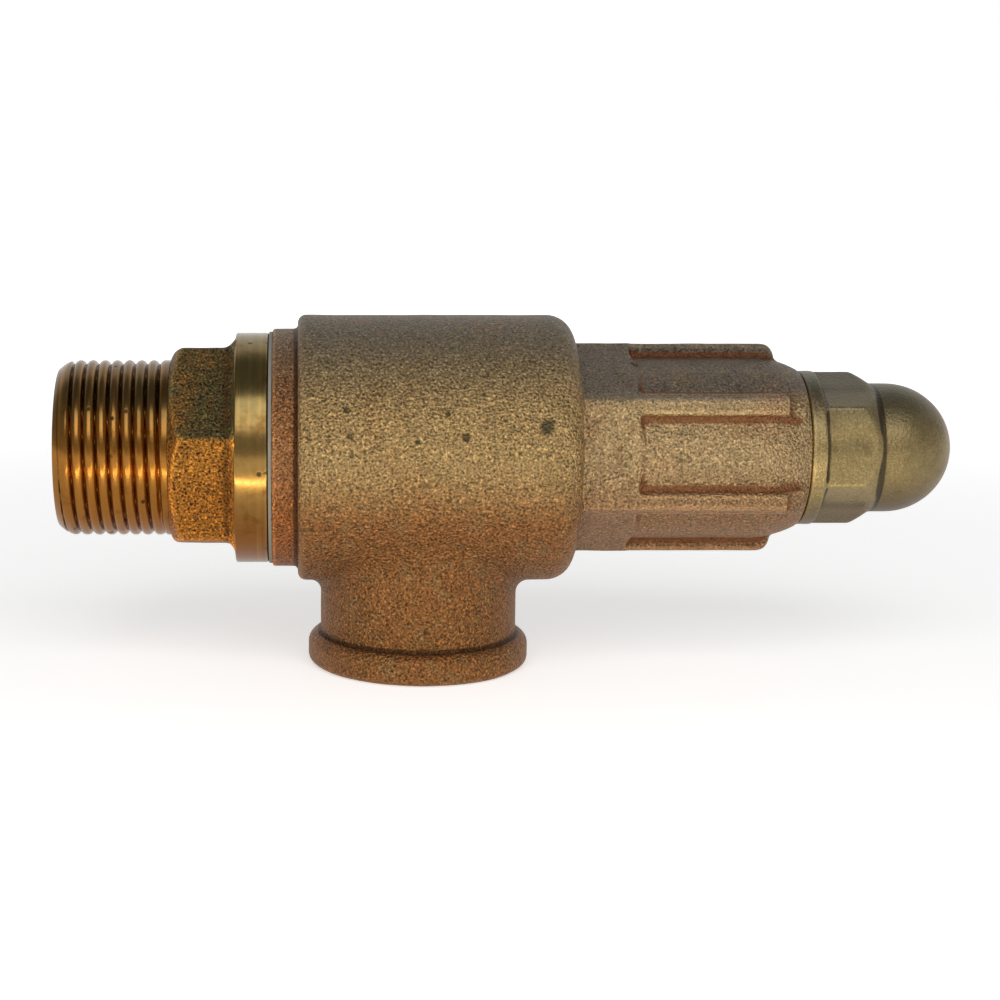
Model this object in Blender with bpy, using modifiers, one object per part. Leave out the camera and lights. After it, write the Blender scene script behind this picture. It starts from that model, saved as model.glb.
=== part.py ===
"""Spring-loaded safety valve in bronze, angle pattern, with a screwed inlet and outlet.

The valve lies along world X, its inlet to the left, and stands on its outlet.
Every piece is drawn in the valve's own frame, which the empty valve_axis carries:
local Z runs along the valve from the inlet's end to the cap, and local X points to the outlet.
"""

import math

import bmesh
import bpy
from mathutils import Matrix, Vector

MM = 0.001
MARGIN = 1.0 * MM

# Clearances
SEAT_GAP = 0.3 * MM
NUT_CLEARANCE = 0.4 * MM
SPRING_CLEARANCE = 1.3 * MM
PLATE_CLEARANCE = 0.7 * MM
BOSS_CLEARANCE = 0.6 * MM

# Inlet nozzle, male pipe thread G 1
INLET_THREAD_DIAMETER = 33.25 * MM
INLET_THREAD_LENGTH = 21.2 * MM
INLET_THREAD_CHAMFER = 1.6 * MM
INLET_BORE_DIAMETER = 24.0 * MM
NOZZLE_HEX_FLATS = 36.0 * MM
NOZZLE_HEX_LENGTH = 10.0 * MM
NOZZLE_HEX_FACE_INSET = 1.1 * MM
NOZZLE_HEX_CORNER_ANGLE = math.radians(16.9)
NOZZLE_FLARE_LENGTH = 2.3 * MM
NOZZLE_FLARE_ROOT_INSET = 0.5 * MM
NOZZLE_COLLAR_STEP = 2.85 * MM
NOZZLE_COLLAR_LENGTH = 6.0 * MM
NOZZLE_COLLAR_CHAMFER = 0.5 * MM
NOZZLE_SPIGOT_DIAMETER = 38.0 * MM
NOZZLE_SPIGOT_LENGTH = 9.1 * MM
NOZZLE_NOSE_DIAMETER = 31.0 * MM
NOZZLE_NOSE_LENGTH = 6.8 * MM
SEAT_BORE_DIAMETER = 20.0 * MM
SEAT_BORE_LENGTH = 6.0 * MM
SEAT_LIP_WIDTH = 1.3 * MM
SEAT_LIP_HEIGHT = 1.5 * MM
BORE_TAPER_LENGTH = 4.0 * MM

# Gaskets
NOZZLE_GASKET_THICKNESS = 0.6 * MM
NOZZLE_GASKET_STANDOUT = 0.2 * MM
BONNET_GASKET_THICKNESS = 0.6 * MM
BONNET_GASKET_INSET = 0.2 * MM
CAP_GASKET_THICKNESS = 0.5 * MM
CAP_GASKET_INSET = 1.6 * MM

# Valve body and its outlet, female pipe thread G 1
BODY_COLLAR_STEP = 0.75 * MM
BODY_COLLAR_LENGTH = 4.5 * MM
BODY_COLLAR_CHAMFER = 0.4 * MM
BODY_DIAMETER = 50.4 * MM
BODY_WALL = 4.2 * MM
BODY_BEFORE_OUTLET = 4.45 * MM
BODY_BEHIND_OUTLET = 9.65 * MM
BODY_INLET_ROUNDING = 1.5 * MM
BODY_BONNET_ROUNDING = 4.8 * MM
CHAMBER_ROUNDING = 2.0 * MM
OUTLET_BORE_DIAMETER = 30.3 * MM
OUTLET_WALL = 3.6 * MM
OUTLET_LENGTH = 16.4 * MM
OUTLET_FILLET = 2.6 * MM
OUTLET_FILLET_SINK = 0.3 * MM
OUTLET_BEAD_PROJECTION = 2.3 * MM
OUTLET_BEAD_HEIGHT = 5.8 * MM
OUTLET_BEAD_ROUNDING = 2.4 * MM
OUTLET_MOUTH_CHAMFER = 1.6 * MM
GUIDE_WEB_THICKNESS = 2.5 * MM

# Disc, its seal and its guide
DISC_LIFT = 3.0 * MM
SEAL_OVERLAP = 0.9 * MM
SEAL_THICKNESS = 3.0 * MM
SEAL_STANDOUT = 0.9 * MM
HOLDER_RIM_WIDTH = 1.5 * MM
HOLDER_HEAD_LENGTH = 13.1 * MM
HOLDER_END_SETBACK = 2.8 * MM
HOLDER_CHAMFER = 0.8 * MM
RETAINER_DIAMETER = 15.0 * MM
RETAINER_THICKNESS = 1.5 * MM
RETAINER_CHAMFER = 0.5 * MM
SEAL_SCREW_DIAMETER = 4.0 * MM
SEAL_SCREW_LENGTH = 14.0 * MM
SEAL_SCREW_HEAD_DIAMETER = 8.0 * MM
SEAL_SCREW_HEAD_HEIGHT = 2.5 * MM
SEAL_SCREW_SLOT_WIDTH = 1.2 * MM
SEAL_SCREW_SLOT_DEPTH = 1.2 * MM
SEAL_SCREW_CHAMFER = 0.5 * MM
GUIDE_WALL = 1.3 * MM
GUIDE_FLANGE_THICKNESS = 2.5 * MM

# Spindle
SPINDLE_DIAMETER = 8.0 * MM
SPINDLE_SOCKET_DEPTH = 13.0 * MM
SPINDLE_BALL_DIAMETER = 6.0 * MM
SPINDLE_COLLAR_DIAMETER = 12.0 * MM
SPINDLE_COLLAR_LENGTH = 2.0 * MM
SPINDLE_COLLAR_SETBACK = 9.0 * MM
SPINDLE_STEM_DIAMETER = 6.0 * MM
SPINDLE_END_SETBACK = 7.1 * MM
SPINDLE_CHAMFER = 0.5 * MM
SPINDLE_PIN_DIAMETER = 2.0 * MM
SPINDLE_PIN_SETBACK = 3.0 * MM
SPINDLE_PIN_END_INSET = 1.0 * MM

# Spring and its plates
SPRING_WIRE_DIAMETER = 3.0 * MM
SPRING_TURNS = 5.5
SPRING_END_TURNS = 0.75
LOWER_PLATE_THICKNESS = 4.0 * MM
UPPER_PLATE_THICKNESS = 3.5 * MM
PLATE_BOSS_HEIGHT = 2.0 * MM
PLATE_CHAMFER = 0.5 * MM

# Bonnet
BONNET_BARREL_DIAMETER = 34.4 * MM
BONNET_BARREL_LENGTH = 27.6 * MM
BONNET_WALL = 5.2 * MM
BONNET_SPIGOT_STEP = 2.0 * MM
BONNET_SPIGOT_LENGTH = 7.0 * MM
BONNET_HEX_STEP = 0.1 * MM
BONNET_HEX_LENGTH = 9.7 * MM
BONNET_HEX_RECESS_LENGTH = 2.2 * MM
BONNET_HEX_CORNER_ANGLE = math.radians(-4.7)
BONNET_RIB_WIDTH = 2.3 * MM
BONNET_SIDE_RIB_WIDTH = 4.2 * MM
BONNET_SIDE_RIB_OVERRUN = 3.0 * MM
BONNET_RIB_END_ROUNDING = 3.0 * MM
BONNET_RIB_INSET = 0.1 * MM
BONNET_SHOULDER_LENGTH = 4.4 * MM
BONNET_SHOULDER_DROP = 2.4 * MM
BONNET_END_WALL = 5.5 * MM
BONNET_NECK_LENGTH = 7.3 * MM

# Setting screw, its lock nut and washer
SCREW_DIAMETER = 12.0 * MM
SCREW_PITCH = 1.75 * MM
SCREW_STANDOUT = 3.4 * MM
SCREW_CHAMFER = 1.0 * MM
SCREW_BORE_DEPTH = 20.0 * MM
SCREW_SLOT_WIDTH = 2.0 * MM
SCREW_SLOT_DEPTH = 2.5 * MM
LOCK_WASHER_DIAMETER = 18.0 * MM
LOCK_WASHER_THICKNESS = 1.0 * MM
LOCK_NUT_FLATS = 17.0 * MM
LOCK_NUT_THICKNESS = 5.5 * MM
LOCK_NUT_FACE_INSET = 0.4 * MM

# Cap
CAP_WALL = 2.0 * MM
CAP_RING_DIAMETER = 29.2 * MM
CAP_RING_THICKNESS = 2.0 * MM
CAP_RING_ROUNDING = 0.5 * MM
CAP_HEX_FLATS = 25.2 * MM
CAP_HEX_LENGTH = 10.5 * MM
CAP_HEX_CORNER_ANGLE = math.radians(50.5)
CAP_DOME_CYLINDER_LENGTH = 3.5 * MM

# Facets
BODY_STEPS = 40
INNER_STEPS = 22
SMALL_STEPS = 16
BALL_RINGS = 10
FILLET_STEPS = 5
ROUNDING_STEPS = 3
WIDE_ROUNDING_STEPS = 6
DOME_STEPS = 8
COIL_POINTS_PER_TURN = 12
CHAMFER_SLOPE = math.tan(math.radians(30.0))
CAP_CHAMFER_SLOPE = math.tan(math.radians(55.0))
SHARP_ANGLE = math.radians(32.0)

# Diameters that follow from a wall or a neighbour
NOZZLE_COLLAR_DIAMETER = NOZZLE_SPIGOT_DIAMETER + 2 * NOZZLE_COLLAR_STEP
BODY_COLLAR_DIAMETER = NOZZLE_COLLAR_DIAMETER + 2 * BODY_COLLAR_STEP
OUTLET_NECK_DIAMETER = OUTLET_BORE_DIAMETER + 2 * OUTLET_WALL
BODY_LENGTH = BODY_BEFORE_OUTLET + OUTLET_NECK_DIAMETER + BODY_BEHIND_OUTLET
BONNET_BORE_DIAMETER = BONNET_BARREL_DIAMETER - 2 * BONNET_WALL
BONNET_SPIGOT_DIAMETER = BONNET_BARREL_DIAMETER - 2 * BONNET_SPIGOT_STEP
BONNET_HEX_FLATS = BONNET_BARREL_DIAMETER + 2 * BONNET_HEX_STEP
BONNET_SHOULDER_END_DIAMETER = BONNET_BARREL_DIAMETER - 2 * BONNET_SHOULDER_DROP
HOLDER_STEM_DIAMETER = BONNET_BORE_DIAMETER

# Stations along the valve, counted from the inlet's end
NOZZLE_HEX_START = INLET_THREAD_LENGTH
NOZZLE_HEX_END = NOZZLE_HEX_START + NOZZLE_HEX_LENGTH
NOZZLE_COLLAR_START = NOZZLE_HEX_END + NOZZLE_FLARE_LENGTH
NOZZLE_COLLAR_END = NOZZLE_COLLAR_START + NOZZLE_COLLAR_LENGTH
NOZZLE_SPIGOT_END = NOZZLE_COLLAR_END + NOZZLE_SPIGOT_LENGTH
SEAT_STATION = NOZZLE_SPIGOT_END + NOZZLE_NOSE_LENGTH
NOZZLE_GASKET_START = NOZZLE_COLLAR_END + SEAT_GAP
BODY_START = NOZZLE_GASKET_START + NOZZLE_GASKET_THICKNESS + SEAT_GAP
BODY_BARREL_START = BODY_START + BODY_COLLAR_LENGTH
BODY_END = BODY_BARREL_START + BODY_LENGTH
OUTLET_STATION = BODY_BARREL_START + BODY_BEFORE_OUTLET + OUTLET_NECK_DIAMETER / 2
CHAMBER_START = NOZZLE_SPIGOT_END + SEAT_GAP
BONNET_START = BODY_END - BONNET_SPIGOT_LENGTH
GUIDE_FLANGE_START = BONNET_START - SEAT_GAP - GUIDE_FLANGE_THICKNESS
GUIDE_WEB_END = GUIDE_FLANGE_START - SEAT_GAP
CHAMBER_END = GUIDE_WEB_END - GUIDE_WEB_THICKNESS
SEAL_START = SEAT_STATION + SEAT_GAP
HOLDER_START = SEAL_START + SEAL_STANDOUT
HOLDER_RECESS_FLOOR = SEAL_START + SEAL_THICKNESS + SEAT_GAP
HOLDER_HEAD_END = HOLDER_RECESS_FLOOR + HOLDER_HEAD_LENGTH
HOLDER_END = GUIDE_FLANGE_START + GUIDE_FLANGE_THICKNESS - HOLDER_END_SETBACK
GUIDE_START = HOLDER_HEAD_END + DISC_LIFT + SEAT_GAP
RETAINER_START = SEAL_START - SEAT_GAP - RETAINER_THICKNESS
SEAL_SCREW_START = RETAINER_START - SEAT_GAP - SEAL_SCREW_HEAD_HEIGHT
SPINDLE_SOCKET_FLOOR = HOLDER_END - SPINDLE_SOCKET_DEPTH
SPINDLE_BALL_STATION = SPINDLE_SOCKET_FLOOR + SEAT_GAP + SPINDLE_BALL_DIAMETER / 2
SPINDLE_START = SPINDLE_BALL_STATION + SPINDLE_BALL_DIAMETER / 2 + SEAT_GAP
SPINDLE_PIN_STATION = HOLDER_END - SPINDLE_PIN_SETBACK
SPINDLE_COLLAR_START = HOLDER_END + SPINDLE_COLLAR_SETBACK
SPINDLE_STEM_START = SPINDLE_COLLAR_START + SPINDLE_COLLAR_LENGTH
LOWER_PLATE_START = SPINDLE_STEM_START + SEAT_GAP
LOWER_PLATE_END = LOWER_PLATE_START + LOWER_PLATE_THICKNESS
BONNET_GASKET_START = BODY_END + SEAT_GAP
BONNET_HEX_START = BONNET_GASKET_START + BONNET_GASKET_THICKNESS + SEAT_GAP
BONNET_HEX_END = BONNET_HEX_START + BONNET_HEX_LENGTH
BONNET_BARREL_END = BONNET_HEX_END + BONNET_BARREL_LENGTH
BONNET_SHOULDER_END = BONNET_BARREL_END + BONNET_SHOULDER_LENGTH
BONNET_NECK_END = BONNET_SHOULDER_END + BONNET_NECK_LENGTH
BONNET_BORE_END = BONNET_SHOULDER_END - BONNET_END_WALL
UPPER_PLATE_END = BONNET_BORE_END - SCREW_PITCH - SEAT_GAP
UPPER_PLATE_START = UPPER_PLATE_END - UPPER_PLATE_THICKNESS
SPRING_START = LOWER_PLATE_END + SEAT_GAP
SPRING_END = UPPER_PLATE_START - SEAT_GAP
SCREW_START = UPPER_PLATE_END + SEAT_GAP
SPINDLE_END = SCREW_START + SCREW_BORE_DEPTH - SPINDLE_END_SETBACK
LOCK_WASHER_START = BONNET_NECK_END + SEAT_GAP
LOCK_NUT_START = LOCK_WASHER_START + LOCK_WASHER_THICKNESS + SEAT_GAP
LOCK_NUT_END = LOCK_NUT_START + LOCK_NUT_THICKNESS
SCREW_END = LOCK_NUT_END + SCREW_STANDOUT
CAP_GASKET_START = BONNET_SHOULDER_END + SEAT_GAP
CAP_START = CAP_GASKET_START + CAP_GASKET_THICKNESS + SEAT_GAP
CAP_HEX_END = CAP_START + CAP_RING_THICKNESS + CAP_HEX_LENGTH
CAP_DOME_STATION = CAP_HEX_END + CAP_DOME_CYLINDER_LENGTH

# Radii that follow from a neighbour
CHAMBER_RADIUS = BODY_DIAMETER / 2 - BODY_WALL
CHAMBER_ROUNDING_START = -60.0
BRANCH_ROOT_DEPTH = CHAMBER_RADIUS / 3
OUTLET_BORE_ROOT_DEPTH = CHAMBER_RADIUS / 2
INLET_SOCKET_RADIUS = NOZZLE_SPIGOT_DIAMETER / 2 + SEAT_GAP
BONNET_SOCKET_RADIUS = BONNET_SPIGOT_DIAMETER / 2 + SEAT_GAP
SEAL_RADIUS = SEAT_BORE_DIAMETER / 2 + SEAT_LIP_WIDTH + SEAL_OVERLAP
HOLDER_RECESS_RADIUS = SEAL_RADIUS + SEAT_GAP
HOLDER_HEAD_RADIUS = HOLDER_RECESS_RADIUS + HOLDER_RIM_WIDTH
SEAL_SCREW_HOLE_RADIUS = SEAL_SCREW_DIAMETER / 2 + SEAT_GAP
SPINDLE_SOCKET_RADIUS = SPINDLE_DIAMETER / 2 + SEAT_GAP
SPINDLE_STEM_HOLE_RADIUS = SPINDLE_STEM_DIAMETER / 2 + SEAT_GAP
GUIDE_BORE_RADIUS = HOLDER_STEM_DIAMETER / 2 + SEAT_GAP
GUIDE_OUTER_RADIUS = GUIDE_BORE_RADIUS + GUIDE_WALL
GUIDE_WEB_HOLE_RADIUS = GUIDE_OUTER_RADIUS + SEAT_GAP
PLATE_RADIUS = BONNET_BORE_DIAMETER / 2 - PLATE_CLEARANCE
SPRING_MEAN_RADIUS = BONNET_BORE_DIAMETER / 2 - SPRING_CLEARANCE - SPRING_WIRE_DIAMETER / 2
PLATE_BOSS_RADIUS = SPRING_MEAN_RADIUS - SPRING_WIRE_DIAMETER / 2 - BOSS_CLEARANCE
SCREW_HOLE_RADIUS = SCREW_DIAMETER / 2 + SEAT_GAP
LOCK_NUT_CORNER_RADIUS = LOCK_NUT_FLATS / math.sqrt(3)
CAP_BORE_RADIUS = LOCK_NUT_CORNER_RADIUS + NUT_CLEARANCE
BONNET_NECK_RADIUS = CAP_BORE_RADIUS - SEAT_GAP
CAP_DOME_RADIUS = CAP_BORE_RADIUS + CAP_WALL
OUTLET_REACH = BODY_DIAMETER / 2 + OUTLET_LENGTH
VALVE_LENGTH = CAP_DOME_STATION + CAP_DOME_RADIUS

# Colour, roughness and metallic value of each finish
CAST_BRONZE = ((0.42, 0.24, 0.08), 0.52, 0.9)
BRIGHT_BRASS = ((0.62, 0.36, 0.11), 0.36, 0.95)
CAP_BRONZE = ((0.36, 0.26, 0.09), 0.42, 0.9)
STAINLESS = ((0.58, 0.57, 0.55), 0.3, 1.0)
SPRING_STEEL = ((0.34, 0.33, 0.32), 0.38, 1.0)
FIBRE = ((0.30, 0.30, 0.28), 0.85, 0.0)
SEAL_WHITE = ((0.86, 0.85, 0.82), 0.5, 0.0)


def clear_scene():
    """Remove what the scene holds at the start."""
    for item in list(bpy.data.objects):
        bpy.data.objects.remove(item, do_unlink=True)


def new_collection(name):
    """Add a collection to the scene."""
    collection = bpy.data.collections.new(name)
    bpy.context.scene.collection.children.link(collection)
    return collection


def new_axis():
    """The empty that carries the valve: its Z along world X, its X down to the outlet."""
    axis = bpy.data.objects.new("valve_axis", None)
    axis.location = (-VALVE_LENGTH / 2, 0.0, OUTLET_REACH)
    axis.rotation_euler = (0.0, math.pi / 2, 0.0)
    bpy.context.scene.collection.objects.link(axis)
    return axis


clear_scene()
PIECES = new_collection("safety_valve")
CUTTERS = new_collection("cutters")
VALVE_AXIS = new_axis()


def place(mesh, name, collection, station=0.0):
    """Put a mesh on the valve's axis at a station, as an object."""
    item = bpy.data.objects.new(name, mesh)
    item.parent = VALVE_AXIS
    item.location = (0.0, 0.0, station)
    collection.objects.link(item)
    return item


def as_piece(item, finish):
    """Keep an object as one of the valve's pieces, with a material of its own."""
    colour, roughness, metallic = finish
    material = bpy.data.materials.new(item.name)
    material.use_nodes = True
    surface = material.node_tree.nodes["Principled BSDF"]
    surface.inputs["Base Color"].default_value = (*colour, 1.0)
    surface.inputs["Roughness"].default_value = roughness
    surface.inputs["Metallic"].default_value = metallic
    item.data.materials.clear()
    item.data.materials.append(material)
    CUTTERS.objects.unlink(item)
    PIECES.objects.link(item)
    return item


def as_tool(item):
    """Show an object as a cutter or a filler: wire, and never rendered."""
    item.hide_render = True
    item.display_type = "WIRE"
    return item


def arc(centre, radius, start, end, count):
    """Points (radius, height) round an arc, its angles in degrees from the outward direction."""
    points = []
    for index in range(count + 1):
        angle = math.radians(start + (end - start) * index / count)
        points.append((centre[0] + radius * math.cos(angle), centre[1] + radius * math.sin(angle)))
    return points


def turned(name, outline, station=0.0, steps=BODY_STEPS):
    """Turn a closed outline of (radius, height) points about the valve's axis."""
    doubled_area = 0.0
    for (r0, z0), (r1, z1) in zip(outline, outline[1:] + outline[:1]):
        doubled_area += r0 * z1 - r1 * z0
    if doubled_area > 0:
        outline = outline[::-1]
    count = len(outline)
    edges = []
    for index in range(count):
        following = (index + 1) % count
        if outline[index][0] > 0 or outline[following][0] > 0:
            edges.append((index, following))
    mesh = bpy.data.meshes.new(name)
    mesh.from_pydata([(radius, 0.0, height) for radius, height in outline], edges, [])
    item = place(mesh, name, CUTTERS, station)
    screw = item.modifiers.new("turn", "SCREW")
    screw.axis = "Z"
    screw.angle = 2 * math.pi
    screw.steps = steps
    screw.render_steps = steps
    screw.use_merge_vertices = True
    screw.merge_threshold = 0.00001
    return item


def ring(name, inner, outer, thickness, station, steps=BODY_STEPS):
    """A flat ring."""
    outline = [(inner, 0.0), (outer, 0.0), (outer, thickness), (inner, thickness)]
    return turned(name, outline, station, steps)


def rod(name, radius, start, end, station, steps=INNER_STEPS):
    """A plain round rod on the axis, as a cutter."""
    outline = [(0.0, start), (radius, start), (radius, end), (0.0, end)]
    return as_tool(turned(name, outline, station, steps))


def hexagon(name, flats, length, corner_angle, station):
    """A hexagonal prism that runs a margin past both ends of its length."""
    radius = flats / math.sqrt(3)
    depth = length + 2 * MARGIN
    turn = Matrix.Rotation(corner_angle - math.pi / 2, 4, "Z")
    shift = Matrix.Translation((0.0, 0.0, length / 2))
    sketch = bmesh.new()
    bmesh.ops.create_cone(
        sketch, cap_ends=True, segments=6, radius1=radius, radius2=radius, depth=depth, matrix=shift @ turn
    )
    mesh = bpy.data.meshes.new(name)
    sketch.to_mesh(mesh)
    sketch.free()
    return place(mesh, name, CUTTERS, station)


def box(name, size, centre, station):
    """A box, as a cutter."""
    sketch = bmesh.new()
    bmesh.ops.create_cube(sketch, size=1.0, matrix=Matrix.Translation(centre) @ Matrix.Diagonal((*size, 1.0)))
    mesh = bpy.data.meshes.new(name)
    sketch.to_mesh(mesh)
    sketch.free()
    return as_tool(place(mesh, name, CUTTERS, station))


def combine(item, operation, *others):
    """Add one Boolean to an object for each of the others."""
    for other in others:
        as_tool(other)
        modifier = item.modifiers.new(other.name, "BOOLEAN")
        modifier.operation = operation
        modifier.object = other
    return item


def chamfered_hexagon(
    name, flats, length, corner_angle, station, inset_start, inset_end, slope=CHAMFER_SLOPE
):
    """A hexagonal prism whose corners fall away towards its ends."""
    corner = flats / math.sqrt(3) + MARGIN
    drum = [(0.0, 0.0), (0.0, length)]
    end_radius = corner if inset_end is None else flats / 2 - inset_end
    start_radius = corner if inset_start is None else flats / 2 - inset_start
    drum += [(end_radius, length), (corner, length - (corner - end_radius) * slope)]
    drum += [(corner, (corner - start_radius) * slope), (start_radius, 0.0)]
    outline = [point for index, point in enumerate(drum) if point not in drum[:index]]
    prism = hexagon(name, flats, length, corner_angle, station)
    return combine(prism, "INTERSECT", turned(name + "_drum", outline, station))


def plate(name, outline, thickness, frame):
    """A flat outline of points, with its thickness to both sides, placed by a matrix."""
    curve = bpy.data.curves.new(name, "CURVE")
    curve.dimensions = "2D"
    curve.fill_mode = "BOTH"
    curve.extrude = thickness / 2
    spline = curve.splines.new("POLY")
    spline.points.add(len(outline) - 1)
    for point, (x, y) in zip(spline.points, outline):
        point.co = (x, y, 0.0, 1.0)
    spline.use_cyclic_u = True
    return curve_to_mesh(name, curve, frame)


def curve_to_mesh(name, curve, frame):
    """Make a curve a welded mesh object."""
    source = bpy.data.objects.new(name + "_curve", curve)
    CUTTERS.objects.link(source)
    graph = bpy.context.evaluated_depsgraph_get()
    mesh = bpy.data.meshes.new_from_object(source.evaluated_get(graph))
    bpy.data.objects.remove(source, do_unlink=True)
    mesh.transform(frame)
    sketch = bmesh.new()
    sketch.from_mesh(mesh)
    bmesh.ops.remove_doubles(sketch, verts=sketch.verts, dist=0.000001)
    bmesh.ops.recalc_face_normals(sketch, faces=sketch.faces)
    sketch.to_mesh(mesh)
    sketch.free()
    mesh.name = name
    return place(mesh, name, CUTTERS)


def make_inlet_nozzle():
    """Threaded inlet, hexagon, flare, collar, spigot and seat, in one casting."""
    thread = INLET_THREAD_DIAMETER / 2
    collar = NOZZLE_COLLAR_DIAMETER / 2
    spigot = NOZZLE_SPIGOT_DIAMETER / 2
    flare_root = NOZZLE_HEX_FLATS / 2 - NOZZLE_FLARE_ROOT_INSET
    flare_height = collar - NOZZLE_COLLAR_CHAMFER - flare_root
    outline = [(0.0, 0.0), (thread - INLET_THREAD_CHAMFER, 0.0), (thread, INLET_THREAD_CHAMFER)]
    outline += [(thread, NOZZLE_HEX_START + MARGIN), (flare_root, NOZZLE_HEX_START + MARGIN)]
    for step in range(FILLET_STEPS + 1):
        angle = math.radians(90.0 * step / FILLET_STEPS)
        outline.append((
            flare_root + flare_height * (1 - math.cos(angle)),
            NOZZLE_COLLAR_START - NOZZLE_FLARE_LENGTH * (1 - math.sin(angle)),
        ))
    outline += [(collar, NOZZLE_COLLAR_START + NOZZLE_COLLAR_CHAMFER)]
    outline += [(collar, NOZZLE_COLLAR_END - NOZZLE_COLLAR_CHAMFER)]
    outline += [(collar - NOZZLE_COLLAR_CHAMFER, NOZZLE_COLLAR_END)]
    outline += [(spigot, NOZZLE_COLLAR_END), (spigot, NOZZLE_SPIGOT_END)]
    lip = SEAT_BORE_DIAMETER / 2 + SEAT_LIP_WIDTH
    outline += [(NOZZLE_NOSE_DIAMETER / 2, NOZZLE_SPIGOT_END), (lip, SEAT_STATION - SEAT_LIP_HEIGHT)]
    outline += [(lip, SEAT_STATION), (0.0, SEAT_STATION)]
    nozzle = turned("inlet_nozzle", outline)
    hex_block = chamfered_hexagon(
        "nozzle_hexagon", NOZZLE_HEX_FLATS, NOZZLE_HEX_LENGTH, NOZZLE_HEX_CORNER_ANGLE,
        NOZZLE_HEX_START, NOZZLE_HEX_FACE_INSET, None,
    )
    seat = SEAT_BORE_DIAMETER / 2
    bore = INLET_BORE_DIAMETER / 2
    seat_bore_start = SEAT_STATION - SEAT_BORE_LENGTH
    passage = [(0.0, -MARGIN), (bore, -MARGIN), (bore, seat_bore_start - BORE_TAPER_LENGTH)]
    passage += [(seat, seat_bore_start), (seat, SEAT_STATION + MARGIN), (0.0, SEAT_STATION + MARGIN)]
    combine(nozzle, "UNION", hex_block)
    combine(nozzle, "DIFFERENCE", turned("nozzle_passage", passage))
    return as_piece(nozzle, BRIGHT_BRASS)


def make_nozzle_gasket():
    """Flat gasket between the nozzle's collar and the body."""
    inner = NOZZLE_SPIGOT_DIAMETER / 2 + SEAT_GAP
    outer = NOZZLE_COLLAR_DIAMETER / 2 + NOZZLE_GASKET_STANDOUT
    gasket = ring("nozzle_gasket", inner, outer, NOZZLE_GASKET_THICKNESS, NOZZLE_GASKET_START)
    return as_piece(gasket, FIBRE)


def branch_point(angle, radius, depth):
    """A point round the outlet's axis, at a depth below the valve's axis."""
    return Vector((depth, radius * math.sin(angle), OUTLET_STATION + radius * math.cos(angle)))


def body_depth(angle, radius):
    """How far below the valve's axis the body's barrel lies, round the outlet's axis."""
    across = radius * math.sin(angle)
    return math.sqrt((BODY_DIAMETER / 2) ** 2 - across ** 2)


def branch_sections(angle):
    """The outlet branch's outline at one angle, from its root inside the body to its face."""
    neck = OUTLET_NECK_DIAMETER / 2
    fillet = min(OUTLET_FILLET, BODY_DIAMETER / 2 - neck - MARGIN)
    foot = neck + fillet
    corner = Vector((neck, body_depth(angle, neck)))
    start = Vector((foot, body_depth(angle, foot) - OUTLET_FILLET_SINK))
    end = Vector((neck, corner.y + fillet))
    points = [(neck, BRANCH_ROOT_DEPTH)]
    for step in range(FILLET_STEPS + 1):
        t = step / FILLET_STEPS
        blend = start * (1 - t) ** 2 + corner * 2 * t * (1 - t) + end * t ** 2
        points.append((blend.x, blend.y))
    bead = neck + OUTLET_BEAD_PROJECTION
    top = OUTLET_REACH - OUTLET_BEAD_HEIGHT
    rounding = min(OUTLET_BEAD_ROUNDING, OUTLET_BEAD_HEIGHT / 2)
    points.append((neck, top))
    points += arc((bead - rounding, top + rounding), rounding, -90.0, 0.0, ROUNDING_STEPS)
    points += arc((bead - rounding, OUTLET_REACH - rounding), rounding, 0.0, 90.0, ROUNDING_STEPS)
    return points


def make_outlet_branch():
    """The outlet's neck and bead, lofted into the body's barrel with a fillet all round."""
    sketch = bmesh.new()
    rings = []
    for index in range(BODY_STEPS):
        angle = 2 * math.pi * index / BODY_STEPS
        rings.append([sketch.verts.new(branch_point(angle, *point)) for point in branch_sections(angle)])
    for index in range(BODY_STEPS):
        here = rings[index]
        after = rings[(index + 1) % BODY_STEPS]
        for level in range(len(here) - 1):
            sketch.faces.new((here[level], here[level + 1], after[level + 1], after[level]))
    sketch.faces.new([section[0] for section in rings])
    sketch.faces.new([section[-1] for section in rings])
    bmesh.ops.recalc_face_normals(sketch, faces=sketch.faces)
    mesh = bpy.data.meshes.new("outlet_branch")
    sketch.to_mesh(mesh)
    sketch.free()
    return place(mesh, "outlet_branch", CUTTERS)


def make_outlet_bore():
    """The outlet's bore and its mouth chamfer, as a cutter that points down."""
    bore = OUTLET_BORE_DIAMETER / 2
    mouth = bore + OUTLET_MOUTH_CHAMFER
    start = OUTLET_BORE_ROOT_DEPTH
    outline = [(0.0, start), (bore, start), (bore, OUTLET_REACH - OUTLET_MOUTH_CHAMFER)]
    outline += [(mouth, OUTLET_REACH), (mouth, OUTLET_REACH + MARGIN), (0.0, OUTLET_REACH + MARGIN)]
    cutter = turned("outlet_bore", outline, OUTLET_STATION)
    cutter.rotation_euler = (0.0, math.pi / 2, 0.0)
    return cutter


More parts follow.
